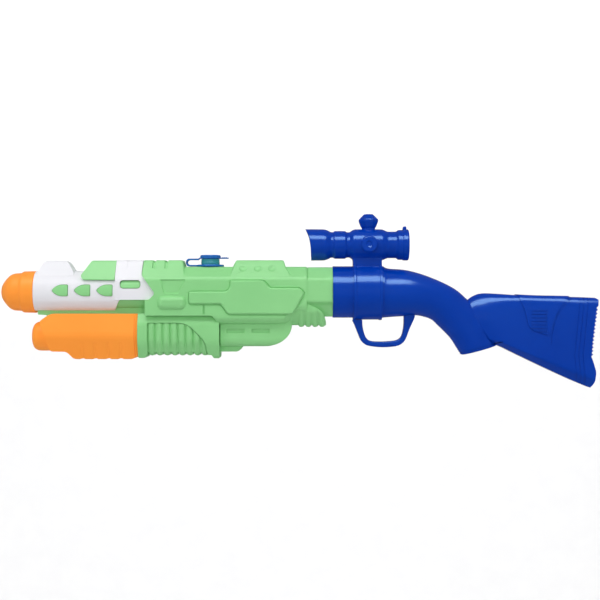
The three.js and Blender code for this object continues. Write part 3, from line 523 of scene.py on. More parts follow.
def bodyOuter():
    b = body
    below, above = b["sideKeel"] - 1, b["top"] + 4
    outline = [
        (bodyFront + 0.6, above), *jointLine[1:], (bodyFront + 3.4, -8.2), (bodyFront + 3.4, b["bottom"]),
        (b["shoulderX"], b["bottom"], 2), (gripRear + 0.6, below, 2), (bodyRear, below), (bodyRear, above)]
    main = common(bodyBar(), rightThrough(outline))
    softEdges(main, 0.9)
    frontBlock = common(
        rightThrough(shifted(bodyFront, [(1.1, 40), (-0.4, 18), (2, 12), (44.6, 12), (42.8, 26.2),
            (39.5, 40)]), 30),
        bar(blockSection(), bodyFront - 10, bodyFront + 60))
    softEdges(frontBlock, 1.3)
    for x in (bodyFront + 11.8, bodyFront + 24.4):
        groove = rightThrough([(x - 1.5, 24.5), (x + 1.5, 24.5), (x + 1.8, 40), (x - 1.8, 40)], 30)
        cut(frontBlock, skinGroove(groove, bar(blockSection(-1.5), bodyFront - 20, bodyFront + 70)))
    softEdges(frontBlock, 0.5, angle=50)
    sightBlock = common(
        rightThrough([(-109, 12), (-107, 15), (-103.5, 26.2, 3), (-99, 36), (-52, 36), (-49, 26.2, 3),
            (-42.5, 15), (-40, 12)], 30),
        bar(blockSection(), -115, -35))
    softEdges(sightBlock, 1.3)
    dimples = []
    r = b["dimpleRadius"]
    turn = [k * math.pi / 16 for k in range(17)]
    for x in (-93.3, -77.8, -63.2):
        spot = Vector((x, -18.1, 24.2)) + Vector((0, -0.821, 0.570)) * b["dimpleLift"]
        ball = turned([(-r * math.cos(a), r * math.sin(a)) for a in turn], "z", spot, 48)
        dimples += [ball, mirrored(ball)]
    cut(sightBlock, *dimples)
    join(main, frontBlock, sightBlock)
    return main


def panelCorners():
    outline = [(-121, 0), (-121, -12), (-88, -12), (-81, -22.5), (-14.7, -22.5), (-3, -1.5), (-7.5, 3.6),
        (-38, 3.6), (-45, 11.5), (-78.5, 11.5), (-78.5, 5), (-82.5, 0)]
    return softened(shifted(bodyRear, outline), 2.4)


def sidePanel():
    face = body["halfWidth"] + body["panelRise"]
    rings = [(-0.5, 12), (-0.5, face - 1.5), (-0.2, face - 0.8), (0.5, face - 0.2), (0.9, face - 0.03),
        (1.2, face)]
    return stack("panel", panelCorners(), rings, fromSide)


def sideGroove():
    # a narrow moat round the panel, wider along its lower and rear edges
    face = body["halfWidth"]
    shift = 0.45
    rings = [(-0.9, face - 0.9), (-1.6, face - 0.2), (-1.7, face + 3)]
    return stack("moat", panelCorners(), rings, lambda u, v, h: (u + shift, h, v - shift))


def sidePad():
    low, high, front, rear = -18.6, -4.0, bodyFront + 16, bodyFront + 46
    corners = [(front, high, 6.4), (front, low, 6.4), (rear, low, 6.9), (rear, high, 6.4)]
    return slab(corners, 14, body["halfWidth"] + body["padRise"], 5.2)


def sideRecess():
    corners = [(19.2, 12.5, 1.5), (23.3, -1.8, 1.5), (38.2, -1.8, 1.5), (40.2, 5, 3), (45.6, 12.5, 1.5)]
    face = body["halfWidth"]
    rings = [(0.8, face - 1.3), (0.2, face - 1.1), (-0.3, face), (-0.6, face + 1)]
    return stack("recess", shifted(bodyFront, corners), rings, fromSide)


def collarShape(grow=0.0):
    w, h = collar["halfWidth"] + grow, collar["halfHeight"] + grow
    return both([(-12 - grow * 0.4, h, 2.5), (-w, 13 + grow * 0.4, 2.5), (-w, -10 - grow * 0.4, 2.5),
        (-14 - grow * 0.4, -h, 2.5)])


def collarOuter():
    main = softEdges(bar(collarShape(), collar["front"], 0), 0.9)
    groove = rightThrough([(bodyRear - 1, -10.2), (4, -10.2), (4, -13.2), (bodyRear - 1, -13.2)])
    cut(main, skinGroove(groove, bar(collarShape(-1.1), collar["front"] - 9, 9)))
    ring = rightThrough(shifted(bodyRear, [(-0.2, 12), (1, 12), (1, 40), (-0.2, 40)]))
    cut(main, skinGroove(ring, bar(collarShape(-0.8), collar["front"] - 9, 9)))
    return main


def ribBlock():
    # four ribs wrap the foot of the collar, under a rounded shoulder
    section = both([(-23.3, -8), (-22.5, -20.4, 3), (-12.8, -34.7, 4)])
    wide = both([(-23.6, -8), (-23, -20.6, 3), (-13.4, -36.5, 4)])
    main = bar(section, -44, -7)
    ribs = footRibs
    for k in range(ribs["count"]):
        x = ribs["first"] + ribs["pitch"] * k
        join(main, bar(wide, x - ribs["halfLength"], x + ribs["halfLength"], ribs["rim"]))
    limit = rightThrough([(-52, -12), (-27, -12, 4), (-9.5, -20, 8), (-5.2, -40), (-52, -40)])
    return softEdges(common(main, limit), 0.8, angle=50)


def podOuter():
    p = pod
    low = pumpZ - p["radius"]
    length, height = p["tailLength"], p["tailHeight"]
    tail = p["rear"] - length
    turn = [k * math.pi / 32 for k in range(1, 17)]
    curve = [(tail + length * math.sin(a), low + height - height * math.cos(a)) for a in turn]
    outline = [(p["front"], -20), (p["front"], low), (tail, low), *curve, (p["rear"], -20)]
    flat = both([(-p["cheek"], -20.3), (-p["cheek"], low, 9)])
    main = softEdges(common(bar(flat, p["cheekFront"], p["rear"] + 4), rightThrough(outline, 21)), 0.9)
    # a round stub goes on into the pump grip
    reach = p["radius"] - 0.2
    turn = [k * math.pi / 24 for k in range(25)]
    under = [(-reach * math.cos(a), pumpZ - reach * math.sin(a)) for a in turn]
    stub = [(-reach, -24), *under, (reach, -24)]
    join(main, bar(stub, p["front"], p["cheekFront"] + 5, 0.9))
    front, rear, bottom = p["front"] + 0.2, p["footRear"], p["footBottom"]
    foot = [(front, pumpZ), (front, bottom, 1.5), (rear - 3, bottom, 3), (rear + 2, low, 2),
        (rear + 8, pumpZ)]
    join(main, slab(foot, -p["footHalfWidth"], p["footHalfWidth"], 1.2))
    for start, end in ((-110, -91.2), (-84, -65.4)):
        corners = [(start, -38.2, 1.2), (start, -42.6, 1.2), (end, -42.6, 1.2), (end, -38.2, 1.2)]
        hole = slab(corners, p["cheek"] - p["slotDepth"], 20)
        cut(main, hole, mirrored(hole))
    return softEdges(main, 0.25, angle=60)


def barrelOuter():
    main = rod(core["radius"], barrelFront + 0.4, bodyFront + 20, sides=96, rim=0.4)
    join(main, rod(core["spigot"], barrelFront - 19.7, barrelFront + 4, sides=96, rim=0.6))
    for raised in [windowOutline(start) for start in windowStarts] + [slotHole]:
        proud = rod(core["windowReach"], barrelFront - 30, bodyFront + 30, sides=96)
        join(main, softEdges(common(rightThrough(raised, 30), proud), 0.6))
    block = common(rightThrough(barrelBlock, 30), bar(saddleSection(-0.3), bodyFront - 80, bodyFront))
    join(main, softEdges(block, 1.2))
    stem = slab([(-307, -14), (-307, -23.6, 1), (-298, -24.2, 1), (-296, -28.4), (-126, -28.4), (-126, -23),
        (bodyFront + 12, -22), (bodyFront + 12, -14)], -10, 10)
    join(main, stem, bar(both([(-13, -27.3, 0.5), (-13, -29.3, 0.5)]), -295.5, -126.4, 0.5))
    return main


def saddleSection(grow=0.0):
    return both([(-11 - grow * 0.5, 33 + grow, 2.4), (-21.9 - grow, 12, 3), (-21.9 - grow, -30)])


def buildBody():
    b = body
    shell = bodyOuter()
    recess = sideRecess()
    moat = sideGroove()
    cut(shell, recess, mirrored(recess), moat, mirrored(moat))
    gutter = rightThrough([(-133.9, -13), (-132.0, -13), (-132.0, -23), (-133.9, -23)])
    under = bodySection(b["sideHip"], b["sideKeel"], b["sideKeelHalfWidth"], -b["gutterDepth"])
    cut(shell, skinGroove(gutter, bar(under, -140, -125)))
    panel = sidePanel()
    pad = sidePad()
    join(shell, panel, mirrored(panel), pad, mirrored(pad))
    join(shell, collarOuter(), ribBlock(), podOuter(), barrelOuter())
    # the hollow inside, with room for tank, pump and pipes
    wall = b["wall"]
    inner = b["halfWidth"] - wall
    room = common(
        bar(both([(-10, b["top"] - wall), (-inner, b["shoulder"] - 1), (-inner, b["hip"]),
            (-11, b["keel"] + wall)]), bodyFront + 6, bodyRear - 2),
        rightThrough([(bodyFront + 14, 60), (bodyFront + 16, 0), (bodyFront + 16, -6),
            (bodyFront + 10, -10.5), (bodyFront + 5.4, -10.5), (bodyFront + 5.4, b["bottom"] + wall),
            (b["shoulderX"], b["bottom"] + wall), (gripRear + 3, b["keel"] + wall), (0, b["keel"] + wall),
            (0, 60)]))
    podRoom = join(
        rod(pod["bore"], pod["front"] - 5, pod["rear"] - pod["tailLength"] - 0.5, at=(0, 0, pumpZ), sides=64),
        cubeBlock((pod["front"] + 2, -pod["bore"], pumpZ), (pod["rear"] - 8, pod["bore"], b["keel"] + 8)))
    bore = rod(core["bore"], barrelFront - 30, bodyFront + 30, sides=64)
    socket = rod(collar["socket"], bodyRear - 4, 10, sides=72)
    join(room, podRoom, bore, socket)
    for pillar in pillars("body", 9.3):
        cut(room, pillar)
    cut(shell, room)
    cut(shell, rod(b["fillerHole"], 15, 60, "z", (neckX, 0, 0), sides=64))
    ledge = rod(b["ledgeRadius"], b["top"] - 0.3, 60, "z", (neckX, 0, 0), sides=72)
    cut(shell, ledge)
    cut(shell, *wells("body"), *pilots("body"))
    completePair(shell, "body", "green", "frame", "body_shell")


buildBody()
print("stage: body")


# White shroud over the barrel core

shroud = {"radius": 21.9, "sideRadius": 26.0, "upperCrease": 41, "lowerCrease": -28.6, "humpTop": 32.6,
    "gap": 0.5, "creaseDepth": 0.7}


def shroudSection():
    # round above and below, a little flatter at the sides, which leaves two faint creases
    r = shroud["radius"]
    upper, lower = math.radians(shroud["upperCrease"]), math.radians(shroud["lowerCrease"])
    high, low = [Vector((math.cos(a), math.sin(a))) * r for a in (upper, lower)]
    chord = high - low
    middle = (high + low) / 2
    outward = Vector((chord.y, -chord.x)).normalized()
    big = shroud["sideRadius"]
    centre = middle - outward * math.sqrt(big * big - chord.length_squared / 4)
    half = [(r * math.cos(a), r * math.sin(a)) for a in [math.radians(90 - 4.9 * k) for k in range(10)]]
    for k in range(1, 14):
        a = upper + (lower - upper) * k / 14
        ray = Vector((math.cos(a), math.sin(a)))
        near = ray.dot(centre)
        half.append(tuple(ray * (near + math.sqrt(max(0, big * big - centre.length_squared + near ** 2)))))
    for k in range(11):
        a = lower - math.radians(6.14 * k)
        half.append((r * math.cos(a), r * math.sin(a)))
    return half + [(-y, z) for y, z in reversed(half[1:-1])]


def buildShroud():
    gap = shroud["gap"]
    top = shroud["humpTop"]
    outline = [*shifted(-gap, jointLine), *shifted(bodyFront, [(-23.9, -8.2, 2), (-35, -30.2)]),
        (barrelFront, -30.2), (barrelFront, 43)]
    shell = bar(shroudSection(), barrelFront, bodyFront + 20)
    saddle = common(bar(saddleSection(), bodyFront - 28, bodyFront + 20),
        cubeBlock((bodyFront - 40, -40, -8.5), (bodyFront + 40, 40, 60)))
    join(shell, saddle)
    common(shell, rightThrough(outline))
    softEdges(shell, 0.7)
    hump = common(
        rightThrough(shifted(barrelFront, [(3, 12), (3, 20, 2), (9.5, top, 4), (33.5, top, 4), (41, 20, 2),
            (41, 12)]), 30),
        bar(both([(-7, top, 3), (-16, 12)]), barrelFront - 5, barrelFront + 60))
    join(shell, softEdges(hump, 2.0, angle=25))
    crease = rightThrough(shifted(bodyFront, [(-16.2, 24), (-14.8, 24), (-14.6, 40), (-16.4, 40)]), 30)
    under = bar(saddleSection(-shroud["creaseDepth"]), bodyFront - 40, bodyFront + 30)
    cut(shell, skinGroove(crease, under))
    inside = rod(core["radius"] + 0.3, barrelFront - 30, bodyFront + 40, sides=96)
    stem = bar(both([(-10.3, 0), (-10.3, -40)]), barrelFront - 5, bodyFront + 20)
    join(inside, stem)
    cut(shell, inside)
    cut(shell, *[rightThrough(windowOutline(start, 0.5)) for start in windowStarts])
    slot = shifted(bodyFront, [(-23, 3.3, 3.9), (-1.5, 3.3, 3.9), (-1.5, 12.1, 3.9), (-23, 12.1, 3.9)])
    cut(shell, rightThrough(slot))
    notch = shifted(bodyFront, [(-53.4, 40), (-53.4, 33.2, 1), (-64.4, 16.9, 2), (-61.8, 12.1, 2),
        (-28.2, 11.7, 1), (-27.4, 40)])
    cut(shell, rightThrough(notch))
    completePair(shell, "shroud", "white", "frame", "shroud")


buildShroud()
print("stage: shroud")


# Orange nozzle cap

nozzle = {"frontRadius": 6.6, "bellRadius": 20.4, "ringRadius": 21.9, "recess": 4.8, "inner": 18.2,
    "jet": 2.2}


def buildNozzle():
    n = nozzle
    rear = nodeBox("nozzle_cap")[1].x
    recess, bell, ring, inner = n["recess"], n["bellRadius"], n["ringRadius"], n["inner"]
    outside = [(4, 0), (4, recess - 0.8, 0.8), (0, recess, 0.5), (0, n["frontRadius"], 1), (2.4, 11, 2.5),
        (9.8, bell - 1.2, 5), (20.4, bell - 0.5, 0.8), (22.8, ring - 0.3, 1)]
    cap = turned([*shifted(muzzle, outside), (rear, ring, 0.7), (rear, inner), (muzzle + 12, inner, 2),
        (muzzle + 12, 0)], sides=96)
    cut(cap, rod(n["jet"], muzzle - 2, muzzle + 30, sides=40))
    complete(cap, "nozzle_skin", "orange", "frame", "nozzle_cap")


buildNozzle()
print("stage: nozzle")


# Pump handle: orange fore-end and green ribbed grip

foreEnd = {"halfWidth": 22.5, "bottom": -69.8, "noseFront": -313.5, "noseZ": -46.2, "noseRadius": 15.3,
    "notches": [-259.6, -246.2, -232.6, -219.8], "notchRadius": 4.6, "notchLean": 19.8}
grip = {"halfWidth": 23, "bottom": -65.5, "shoulderX": -124.4, "ribPitch": 7.85, "firstRib": -187.6,
    "ribs": 8, "ribHalf": 3.6, "sink": 3.0}


def foreSection(grow=0.0):
    w = foreEnd["halfWidth"] + grow
    return both([(-15.5, -18), (-w, -42.5, 2.6), (-w, -47, 2.6), (-14 - grow * 0.6, -70.5 - grow, 3)])


def handleSlot(low, high):
    # room for the rail under the barrel
    stem = bar(both([(-10.6, -10), (-10.6, -28)]), low, high)
    return join(stem, bar(both([(-13.6, -26.6), (-13.6, -30)]), low, high))


def buildForeEnd():
    f = foreEnd
    end = splitX - 0.3
    shell = common(
        rightThrough([(-303.5, -30.6, 2), (-296, -24.8, 3), (-291, -22.6, 3), (end, -22.6), (end, -66, 2),
            (end - 5, f["bottom"], 3), (-268.5, f["bottom"], 3), (-276, -62, 3), (-292.6, -61.8, 3)]),
        bar(foreSection(), -330, end + 10))
    softEdges(shell, 1.6)
    nose = turned([
        (-285, 0), (-285, f["noseRadius"]), (f["noseFront"], f["noseRadius"], 8.5), (f["noseFront"], 0)],
        at=(0, 0, f["noseZ"]), sides=80)
    join(shell, nose)
    fingers = []
    for x in f["notches"]:
        slope = rod(f["notchRadius"], -14, 14, "z", rim=4, sides=40)
        lean = Matrix.Rotation(math.radians(f["notchLean"]), 4, "X")
        slope.data.transform(Matrix.Translation((x, -20.6, -64.4)) @ lean)
        under = rod(f["notchRadius"], -30, 30, "y", (x, 0, f["bottom"] - 3.6), sides=40)
        fingers += [slope, mirrored(slope), under]
    cut(shell, *fingers)
    band = cubeBlock((end - 3.1, -40, -80), (end + 3, 40, -18))
    cut(shell, skinGroove(band, bar(foreSection(-1.6), end - 10, end + 10)))
    hollow = bar(both([(-13.1, -26), (-19.7, -42), (-19.7, -48), (-12, -67)]), -268, end - 3.3)
    for pillar in pillars("fore_end", 26):
        cut(hollow, pillar)
    cut(shell, hollow, handleSlot(-330, end + 10), rod(3.4, -211.5, end + 10, at=(0, 0, pumpZ), sides=40))
    cut(shell, *wells("fore_end"), *pilots("fore_end"))
    completePair(shell, "fore_end", "orange", "pump_handle", "fore_end")


def gripSection(grow=0.0):
    w = grip["halfWidth"] + grow
    return both([(-16, -18), (-w, -33, 3), (-w, -52, 5), (-14.5 - grow * 0.6, -69.5 - grow * 0.2, 4)])


def gripOutline(grow=0.0):
    start = splitX + 0.3
    low = grip["bottom"]
    return [(start, -22.4), (start, -68.6 - grow, 1.5), (start + 7, -68.6 - grow, 1.5),
        (start + 9, low - grow, 1), (gripRear - 8, low - grow, 1), (gripRear - 6, -69 - grow, 1.5),
        (gripRear, -69 - grow, 1.5), (gripRear, -30.5, 2), (grip["shoulderX"], -24.8, 2),
        (-192, -24.8, 1.5), (-194, -22.4, 1)]


def buildGrip():
    g = grip
    shell = common(rightThrough(gripOutline()), bar(gripSection(), splitX - 10, gripRear + 10))
    softEdges(shell, 1.2)
    recess = [(-191.8, -31.8, 2), (-151.4, -31.8, 9), (-130.8, -51.7, 9), (-128.6, -80), (-191.8, -80)]
    sunk = common(
        rightThrough(gripOutline(-g["sink"])),
        bar(gripSection(-g["sink"]), splitX - 10, gripRear + 10))
    cut(shell, skinGroove(rightThrough(recess), sunk))
    ribs = None
    for k in range(g["ribs"]):
        x = g["firstRib"] + g["ribPitch"] * k
        section = [(y, max(z, g["bottom"] - 0.6), *rest) for y, z, *rest in gripSection(-0.25)]
        rib = bar(section, x - g["ribHalf"], x + g["ribHalf"], 3.3)
        ribs = join(ribs, rib) if ribs else rib
    inner = [(-191, -32.6, 2), (-151.7, -32.6, 9), (-131.7, -51.9, 9), (-129.4, -80), (-191, -80)]
    common(ribs, rightThrough(inner))
    join(shell, softEdges(ribs, 0.7, angle=50))
    hollow = bar(both([(-13.6, -28), (-18.5, -35), (-18.5, -50), (-10, -60)]), -198, gripRear - 2)
    for pillar in pillars("grip", 26):
        cut(hollow, pillar)
    cut(shell, hollow, handleSlot(splitX - 10, gripRear + 10),
        rod(14.2, -196, gripRear + 10, at=(0, 0, pumpZ), sides=64),
        rod(3.5, splitX - 5, -190, at=(0, 0, pumpZ), sides=40))
    cut(shell, *wells("grip"), *pilots("grip"))
    completePair(shell, "pump_grip", "green", "pump_handle", "pump_grip")


buildForeEnd()
buildGrip()
print("stage: pump handle")


# Blue stock: tube, wrist and butt, each lofted through stations

stock = {
    "wristStart": 53, "ringPoints": 108, "wristSquareness": 2.15, "buttFront": 2.0, "buttRear": 5.5,
    "edgeFirst": 38.333, "edgeLast": 61.667, "wall": 2.4,
    "cheekRise": 1.0, "grooveDepth": 0.45, "cheekLines": 7, "linePitch": 3.6,
    "wrist": [  # x from wristStart, z, half height, half width, heading in degrees
        (-52.7, 0, 27, 27, 0), (-25, 0, 27, 27, 0), (0, 0, 27, 27, 0), (5, -1, 25.6, 26.6, 2),
        (22, -1.4, 24.4, 25, 7), (42, -4.7, 21.6, 22, 25),
        (61.5, -12, 20.3, 19.3, 38), (73, -21.5, 20.5, 17.9, 48), (87.5, -36.5, 20.8, 17, 60),
        (95, -49.5, 20.2, 16.5, 69), (100.8, -60.9, 19.6, 16, 74.5)],
    "butt": [  # top x, top z, bottom x from the top, bottom z, half width
        (85, -11.5, 27, -53.5, 14.5), (93.5, -4.7, 29.5, -57.2, 16.2), (104, -1.4, 29.5, -62.3, 16.8),
        (123, -2.1, 26, -69.8, 16.9), (154, -4.2, 19, -81.2, 17.1),
        (191, -5, 5.5, -91.9, 17.5), (221, -6, -4, -100.5, 17.5), (237, -7, -6, -107, 17.5)],
    "rear": [(223, -8.4), (220, -29.4), (217.4, -50.4), (216, -70.4), (219.8, -83), (218.4, -95),
        (214.5, -101)],
    "plateGrooves": [203.8, 208, 212.4], "teeth": 14, "toothDepth": 1.8,
}


def spline(rows, perSpan):
    out = []
    for i in range(len(rows) - 1):
        p = [rows[max(0, min(len(rows) - 1, i + k))] for k in (-1, 0, 1, 2)]
        for k in range(perSpan):
            t = k / perSpan
            out.append([
                b + 0.5 * t * (c - a + t * (2 * a - 5 * b + 4 * c - d + t * (3 * b - a - 3 * c + d)))
                for a, b, c, d in zip(*p)])
    return out + [list(rows[-1])]


def power(value, exponent):
    return math.copysign(abs(value) ** exponent, value)


def ringAt(centre, up, halfHeight, halfWidth, squareness):
    ring = []
    n = 2 / squareness
    for k in range(stock["ringPoints"]):
        a = 2 * math.pi * (k + 0.5) / stock["ringPoints"]
        across = Vector((0, halfWidth * power(math.cos(a), n), 0))
        ring.append(centre + up * (halfHeight * power(math.sin(a), n)) + across)
    return ring


def buttRing(centre, up, halfHeight, halfWidth, squareness):
    # rounded above, with a flat bevel along each lower edge
    first, last = math.radians(stock["edgeFirst"]), math.radians(stock["edgeLast"])
    start, end = Vector((1, math.tan(first))), Vector((1 / math.tan(last), 1))
    along = Vector((end.y - start.y, start.x - end.x))
    ring = []
    for k in range(stock["ringPoints"]):
        a = 2 * math.pi * (k + 0.5) / stock["ringPoints"]
        c, d = math.cos(a), math.sin(a)
        square = squareness if d > 0 else 9
        reach = (abs(c) ** square + abs(d) ** square) ** (-1 / square)
        if d < 0:
            reach = min(reach, along.dot(start) / along.dot(Vector((abs(c), -d))))
        ring.append(centre + up * (halfHeight * reach * d) + Vector((0, halfWidth * reach * c, 0)))
    return ring


def wristLoft(grow=0.0, openFront=False):
    s = stock
    rows = s["wrist"][:3] + spline(s["wrist"][2:], 6)[1:]
    rings = []
    for i, (x, z, high, wide, heading) in enumerate(rows):
        a = math.radians(heading)
        up = Vector((math.sin(a), 0, math.cos(a)))
        back = Vector((-math.cos(a), 0, math.sin(a)))
        square = 2 + (s["wristSquareness"] - 2) * min(1, max(0, x / 30))
        centre = Vector((s["wristStart"] + x, 0, z))
        if i == 0 and openFront:
            centre.x -= 20
        if i == len(rows) - 1 and grow >= 0:  # the end of the grip has a soft edge
            for step, less in ((1.6, 0), (0.5, 0.5), (0, 1.6)):
                rings.append(ringAt(centre + back * step, up, high + grow - less, wide + grow - less,
                    square))
            continue
        if i == len(rows) - 1:
            centre += back * -grow * 1.2
        rings.append(ringAt(centre, up, high + grow, wide + grow, square))
    return lofted(rings)


def buttLoft(grow=0.0):
    s = stock
    rings = []
    for x, z, across, low, wide in spline(s["butt"], 6):
        t = min(1, max(0, (x - 96) / 60))
        crisp = s["buttFront"] + (s["buttRear"] - s["buttFront"]) * t * t * (3 - 2 * t)
        top = Vector((s["wristStart"] + x, 0, z))
        bottom = Vector((s["wristStart"] + x + across, 0, low))
        up = (top - bottom).normalized()
        rings.append(buttRing((top + bottom) / 2, up, (top - bottom).length / 2 + grow, wide + grow, crisp))
    return lofted(rings)


def buttTrim():
    # the butt pad has fine teeth between its heel and its bulge
    s = stock
    start = s["wristStart"]
    rear = [Vector((start + x, z)) for x, z in s["rear"]]
    straight = rear[:4]
    edge = [rear[0] + Vector((-2.5, 2.0)), rear[0] + Vector((-0.6, 0.7)), rear[0]]
    for k in range(2 * s["teeth"]):
        t = 0.1 + 0.87 * k / (2 * s["teeth"])
        place = t * (len(straight) - 1)
        i = min(int(place), len(straight) - 2)
        point = straight[i].lerp(straight[i + 1], place - i)
        edge.append(point - Vector((s["toothDepth"] if k % 2 else 0, 0)))
    tail = [(p.x, p.y, 3) for p in rear[3:-1]]
    corners = [(p.x, p.y) for p in edge] + tail + [(rear[-1].x, rear[-1].y, 2), (start + 70, -125),
        (start + 70, 10), (rear[0].x - 8, 10)]
    return slab(corners, -60, 60)


def buildStock():
    s = stock
    start = s["wristStart"]
    butt = common(buttLoft(), buttTrim())
    softEdges(butt, 0.6, angle=45)
    cheek = [(139, 0), (141.5, -9, 2), (145.6, -18, 3), (150, -38, 6), (172, -46, 6), (176, -26, 8),
        (186, -11, 8), (200, 2)]
    raised = common(buttLoft(s["cheekRise"]), rightThrough(shifted(start, cheek)))
    softEdges(raised, 0.6, angle=50)
    join(butt, raised)
    lines = []
    for k in range(s["cheekLines"]):
        z = -19.5 - s["linePitch"] * k
        line = [(152.5, z), (169, z), (169, z - 0.8), (152.5, z - 0.8)]
        lines.append(rightThrough(shifted(start, line)))
    for x in s["plateGrooves"]:
        line = [(0.2, 5), (1.1, 5), (-6.3, -66), (0.5, -125), (-0.6, -125), (-7.3, -66)]
        lines.append(rightThrough(shifted(start + x, line)))
    arc = shifted(start, [(198.5, -3), (190.5, -10.5), (183.2, -18.4), (178.6, -25), (175.6, -33),
        (173.2, -44), (172.4, -54)])
    lines.append(rightThrough(arc + shifted(1.1, arc[::-1])))
    grooves = lines[0]
    join(grooves, *lines[1:])
    cut(butt, skinGroove(grooves, buttLoft(-s["grooveDepth"])))
    shell = join(wristLoft(), butt)
    rim = rightThrough(shifted(start, [(77.4, -64.9), (123, -52.35), (122.75, -51.45), (77.15, -64)]))
    cut(shell, skinGroove(rim, wristLoft(-0.6)))
    inner = wristLoft(-s["wall"], openFront=True)
    common(inner, cubeBlock((-40, -40, -58), (400, 40, 60)))
    buttInner = common(buttLoft(-s["wall"]), cubeBlock((start + 100, -40, -200), (start + 212, 40, 60)))
    join(inner, buttInner)
    for pillar in pillars("stock", 30):
        cut(inner, pillar)
    cut(shell, inner)
    collarEnd = turned([(-20, 22.2, 0.6), (0.1, 22.2), (0.1, 26, 0), (8, 26, 1), (8, 20), (-20, 20)],
        sides=72)
    join(shell, collarEnd)
    cut(shell, *wells("stock"), *pilots("stock"))
    completePair(shell, "stock", "blue", "frame", "stock")


buildStock()
print("stage: stock")


# Trigger guard loop under the wrist

guard = {"width": 12, "rim": 1.6, "front": 21.5, "rear": 86.3, "low": -27}


def buildGuard():
    g = guard
    half = g["width"] / 2
    front, rear, low = g["front"], g["rear"], g["low"]
    loop = slab([
        (front - 0.6, low + 9), (front - 0.6, low - 3), (front + 1.4, low - 7, 3),
        (front + 10, low - 28.6, 8), (front + 33, low - 31.8, 12),
        (rear - 11.6, low - 28.4, 9), (rear - 6.4, low - 13, 6), (rear, low + 0.6, 3), (rear, low + 12),
        (rear - 11.4, low + 12), (rear - 11.4, low - 9, 5),
        (rear - 14.6, low - 23.2, 7), (front + 33, low - 25.4, 10), (front + 14.2, low - 24.4, 7),
        (front + 9.8, low - 10, 5), (front + 9.6, low + 9)],
        -half, half, g["rim"])
    cut(loop, turned([(0, 0), (0, 29.63), (51.8, 29.63), (51.8, 27.25), (70, 27.25), (70, 0)], sides=96),
        wristLoft(0.25))
    complete(loop, "trigger_guard_skin", "blue", "frame", "trigger_guard")


buildGuard()
print("stage: trigger guard")


# Sight scope with post and collar band

scope = {
    "axis": 49.4, "front": -28.4, "rear": 79.8, "bell": 16.4, "neck": 14.3, "bore": 11.5,
    "bandFront": 21.5, "bandRear": 51.5, "bandOuter": 29.6, "bandInner": 27.3, "postHalfWidth": 9,
    "knobX": 37.8,
}


def buildScope():
    s = scope
    front, rear, bell, neck = s["front"], s["rear"], s["bell"], s["neck"]
    bandFront, bandRear, outer, inner = s["bandFront"], s["bandRear"], s["bandOuter"], s["bandInner"]
    at = (0, 0, s["axis"])
    tube = turned([
        (front - 6, 0), (front - 6, bell + 0.1), (-6.8, bell, 4), (-1.6, neck - 0.9, 1.6),
        (0.6, neck - 0.9, 0.8), (2.2, neck + 0.3, 1), (13.4, neck + 0.3, 1), (14.8, neck - 1, 0.8),
        (17.8, neck - 1, 0.8), (22.4, bell, 2.6), (52.4, bell, 2.6), (57.4, neck - 0.4, 2),
        (66.6, neck - 0.4, 1), (68.8, bell - 0.7, 1), (73.4, bell - 0.7, 0.5), (74, bell, 0.4),
        (78.8, bell, 0.6), (rear, bell - 0.9, 0.4), (rear, 0)], at=at, sides=96)
    # the bell's mouth leans and curves back towards its foot
    mouth = [(-20, 80), (-1.2, 80), (0, 66), (3.6, 59, 3), (5.6, 50, 5), (6.6, 20), (-20, 20)]
    cut(tube, rightThrough(shifted(front, mouth), 30))
    softEdges(tube, 0.6, angle=50)
    fin = slab([(73.4, 60), (73.6, 66.5), (74.4, 68.8, 1), (77.4, 68.8, 1), (78.2, 60)], -2.2, 2.2, 0.5)
    band = turned([
        (bandFront, inner), (bandFront, outer, 0.6), (bandFront + 2.6, outer, 0.4),
        (bandFront + 3.1, outer - 0.6, 0.2), (bandRear - 3.1, outer - 0.6, 0.2),
        (bandRear - 2.6, outer, 0.4), (bandRear, outer, 0.6), (bandRear, inner)], sides=120)
    # post between band and tube, flared at both ends
    w = s["postHalfWidth"]
    flare = [*shifted(bandFront, [(0, 20), (0, 33.5), (-3, 37.5), (-4, 49)]),
        *shifted(bandRear, [(4, 49), (3, 37.5), (0, 33.5), (0, 20)])]
    post = softEdges(slab(flare, -w, w), 1.4)
    cut(post, rod(inner, 0, 80, sides=120))
    panel = [(bandFront + 2.8, 20), (bandFront + 2.8, 34.5, 2), (bandRear - 2.8, 34.5, 2),
        (bandRear - 2.8, 20)]
    sunk = slab(panel, w - 0.6, w + 10)
    cut(post, sunk, mirrored(sunk))
    join(tube, fin, post, band)
    knobAt = (s["knobX"], 0, s["axis"])
    base = [(10, 0), (10, 9.2), (17.2, 9.2, 0.4), (17.8, 8.3, 0.5)]
    dial = [*base, (21, 8.3, 1.6), (21, 3.4, 1), (20, 2.2, 0.8), (20, 0)]
    sideKnob = flipped(turned(dial, "y", knobAt, 64))
    otherKnob = turned([*base, (18.8, 8.3, 0.8), (18.8, 0)], "y", knobAt, 64)
    topKnob = turned([(10, 0), (10, 7.4), (17.6, 7.4, 0.8), (18.8, 8.6, 0.8), (24.5, 10.9), (26.5, 10.9),
        (32.15, 5), (32.15, 0)], "z", knobAt, 8)
    softEdges(topKnob, 0.7, angle=20)
    join(tube, sideKnob, otherKnob, topKnob)
    r = s["bore"]
    bore = turned([*shifted(front, [(-20, 0), (-20, 14.4), (12, 14.2, 3), (20, r, 2)]), (rear - 3, r, 1),
        (rear + 5, r + 1.2), (rear + 5, 0)], at=at, sides=96)
    cut(tube, bore)
    cut(tube, *wells("scope"), *pilots("scope"))
    completePair(tube, "scope", "blue", "frame", "scope")


buildScope()
print("stage: scope")


# Tank, filler cap and its leash

